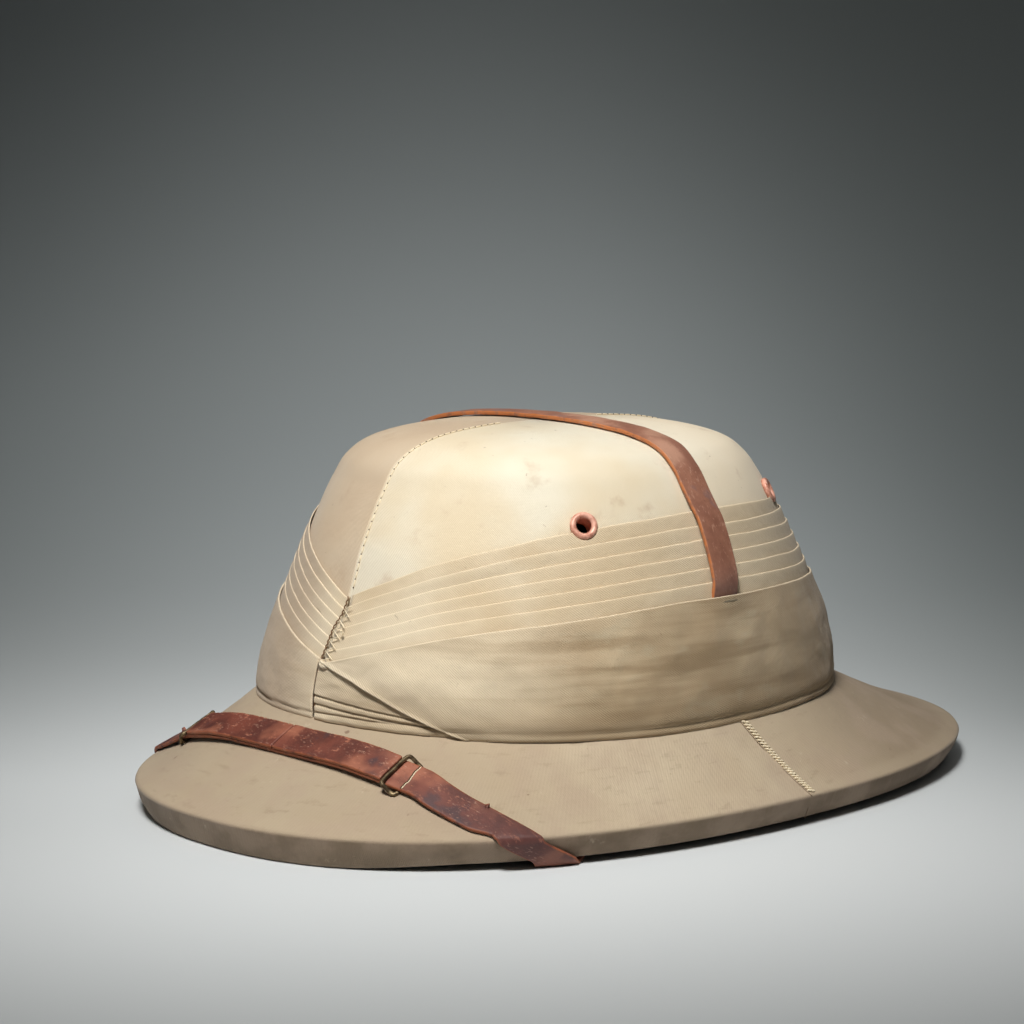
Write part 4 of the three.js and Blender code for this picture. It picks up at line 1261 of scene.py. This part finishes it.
camera = bpy.data.cameras.new("camera")
camera.lens = 96.93
camera.shift_x = -0.055
camera.shift_y = 0.1086
camera.clip_start = 0.05
view = bpy.data.objects.new("camera", camera)
view.location = AIM + (towards * math.cos(ELEVATION) +
                       Vector((0, 0, math.sin(ELEVATION)))) * DISTANCE
view.rotation_euler = (AIM - view.location).to_track_quat("-Z", "Y").to_euler()
bpy.context.scene.collection.objects.link(view)
bpy.context.scene.camera = view

SWEEP_START = 0.45
SWEEP_RADIUS = 0.9


def sweep_place(u, v):
    across = lerp(-3.0, 3.0, u)
    run = lerp(-2.2, 4.0, v)
    if run < SWEEP_START:
        back, z = run, 0.0
    else:
        bend = min((run - SWEEP_START) / SWEEP_RADIUS, math.pi / 2)
        back = SWEEP_START + SWEEP_RADIUS * math.sin(bend)
        z = SWEEP_RADIUS * (1 - math.cos(bend))
        z += max(run - SWEEP_START - SWEEP_RADIUS * math.pi / 2, 0.0)
    point = sideways * across - towards * back + Vector((0, 0, z))
    return point, (across, run)


floor = surface("floor", 24, 160, sweep_place)
# Painted shade: the paper is painted darker off to the sides behind the helmet, towards the
# front and up the backdrop, so that it looks lit in a pool of light round the helmet.
floor_paper, shader, place, cut = material("floor_paper", 0.8)
base = place.noise(0.5).tint(rgb(208, 212, 214), rgb(212, 216, 218))
across, run, _ = parts(cut)
behind = run.between(-0.16, 0.16)
aside = across.between(0.0, 0.34) * 0.95 + across.between(-0.02, -0.45) * 0.6
base = (behind * aside).tint(base, rgb(128, 134, 134))
base = (run.between(0.05, 0.3) * 0.3).tint(base, rgb(150, 155, 155))
base = (run.between(-0.16, -0.42) * 0.45).tint(base, rgb(150, 154, 154))
high = run.between(0.5, 1.4)
base = (high * (across.between(-0.6, 0.5) * 0.9 + 0.2)).tint(base, rgb(138, 143, 142))
base = (run.between(0.0, -0.1) * across.between(-0.08, -0.3) * 0.25).tint(base, rgb(150, 154, 154))
feed(shader.inputs["Base Color"], base)
# Its faces are turned down and away. From that side the paper is clear, so a camera behind it
# still sees the helmet.
feed(shader.inputs["Alpha"], place.node("NewGeometry", out=6))
floor.data.materials.append(floor_paper)


def area_light(name, turn, rise, distance, size, power, colour, spread, aim):
    lamp = bpy.data.lights.new(name, "AREA")
    lamp.shape = "DISK"
    lamp.size = size
    lamp.energy = power
    lamp.color = colour
    lamp.spread = math.radians(spread)
    holder = bpy.data.objects.new(name, lamp)
    turn, rise = math.radians(turn), math.radians(rise)
    way = Vector((math.sin(turn) * math.cos(rise), -math.cos(turn) * math.cos(rise),
                  math.sin(rise)))
    holder.location = aim + way * distance
    holder.rotation_euler = (-way).to_track_quat("-Z", "Y").to_euler()
    bpy.context.scene.collection.objects.link(holder)


area_light("key_light", 33.0, 58.0, 1.3, 0.35, 1.22, (1.0, 0.985, 0.955), 41.0,
           Vector((0.02, -0.06, 0.05)))
area_light("backdrop_light", 226.0, 88.0, 1.3, 0.6, 0.86, (0.97, 1.0, 0.985), 60.0,
           Vector((-0.52, 0.40, 0.0)))
area_light("back_fill", 185.0, 48.0, 1.6, 0.8, 1.25, (0.98, 0.99, 0.98), 180.0, AIM)
world = bpy.data.worlds.new("world")
world.use_nodes = True
world.node_tree.nodes["Background"].inputs["Color"].default_value = (0.93, 0.98, 0.97, 1.0)
world.node_tree.nodes["Background"].inputs["Strength"].default_value = 0.05
bpy.context.scene.world = world
bpy.context.scene.view_settings.view_transform = "Standard"
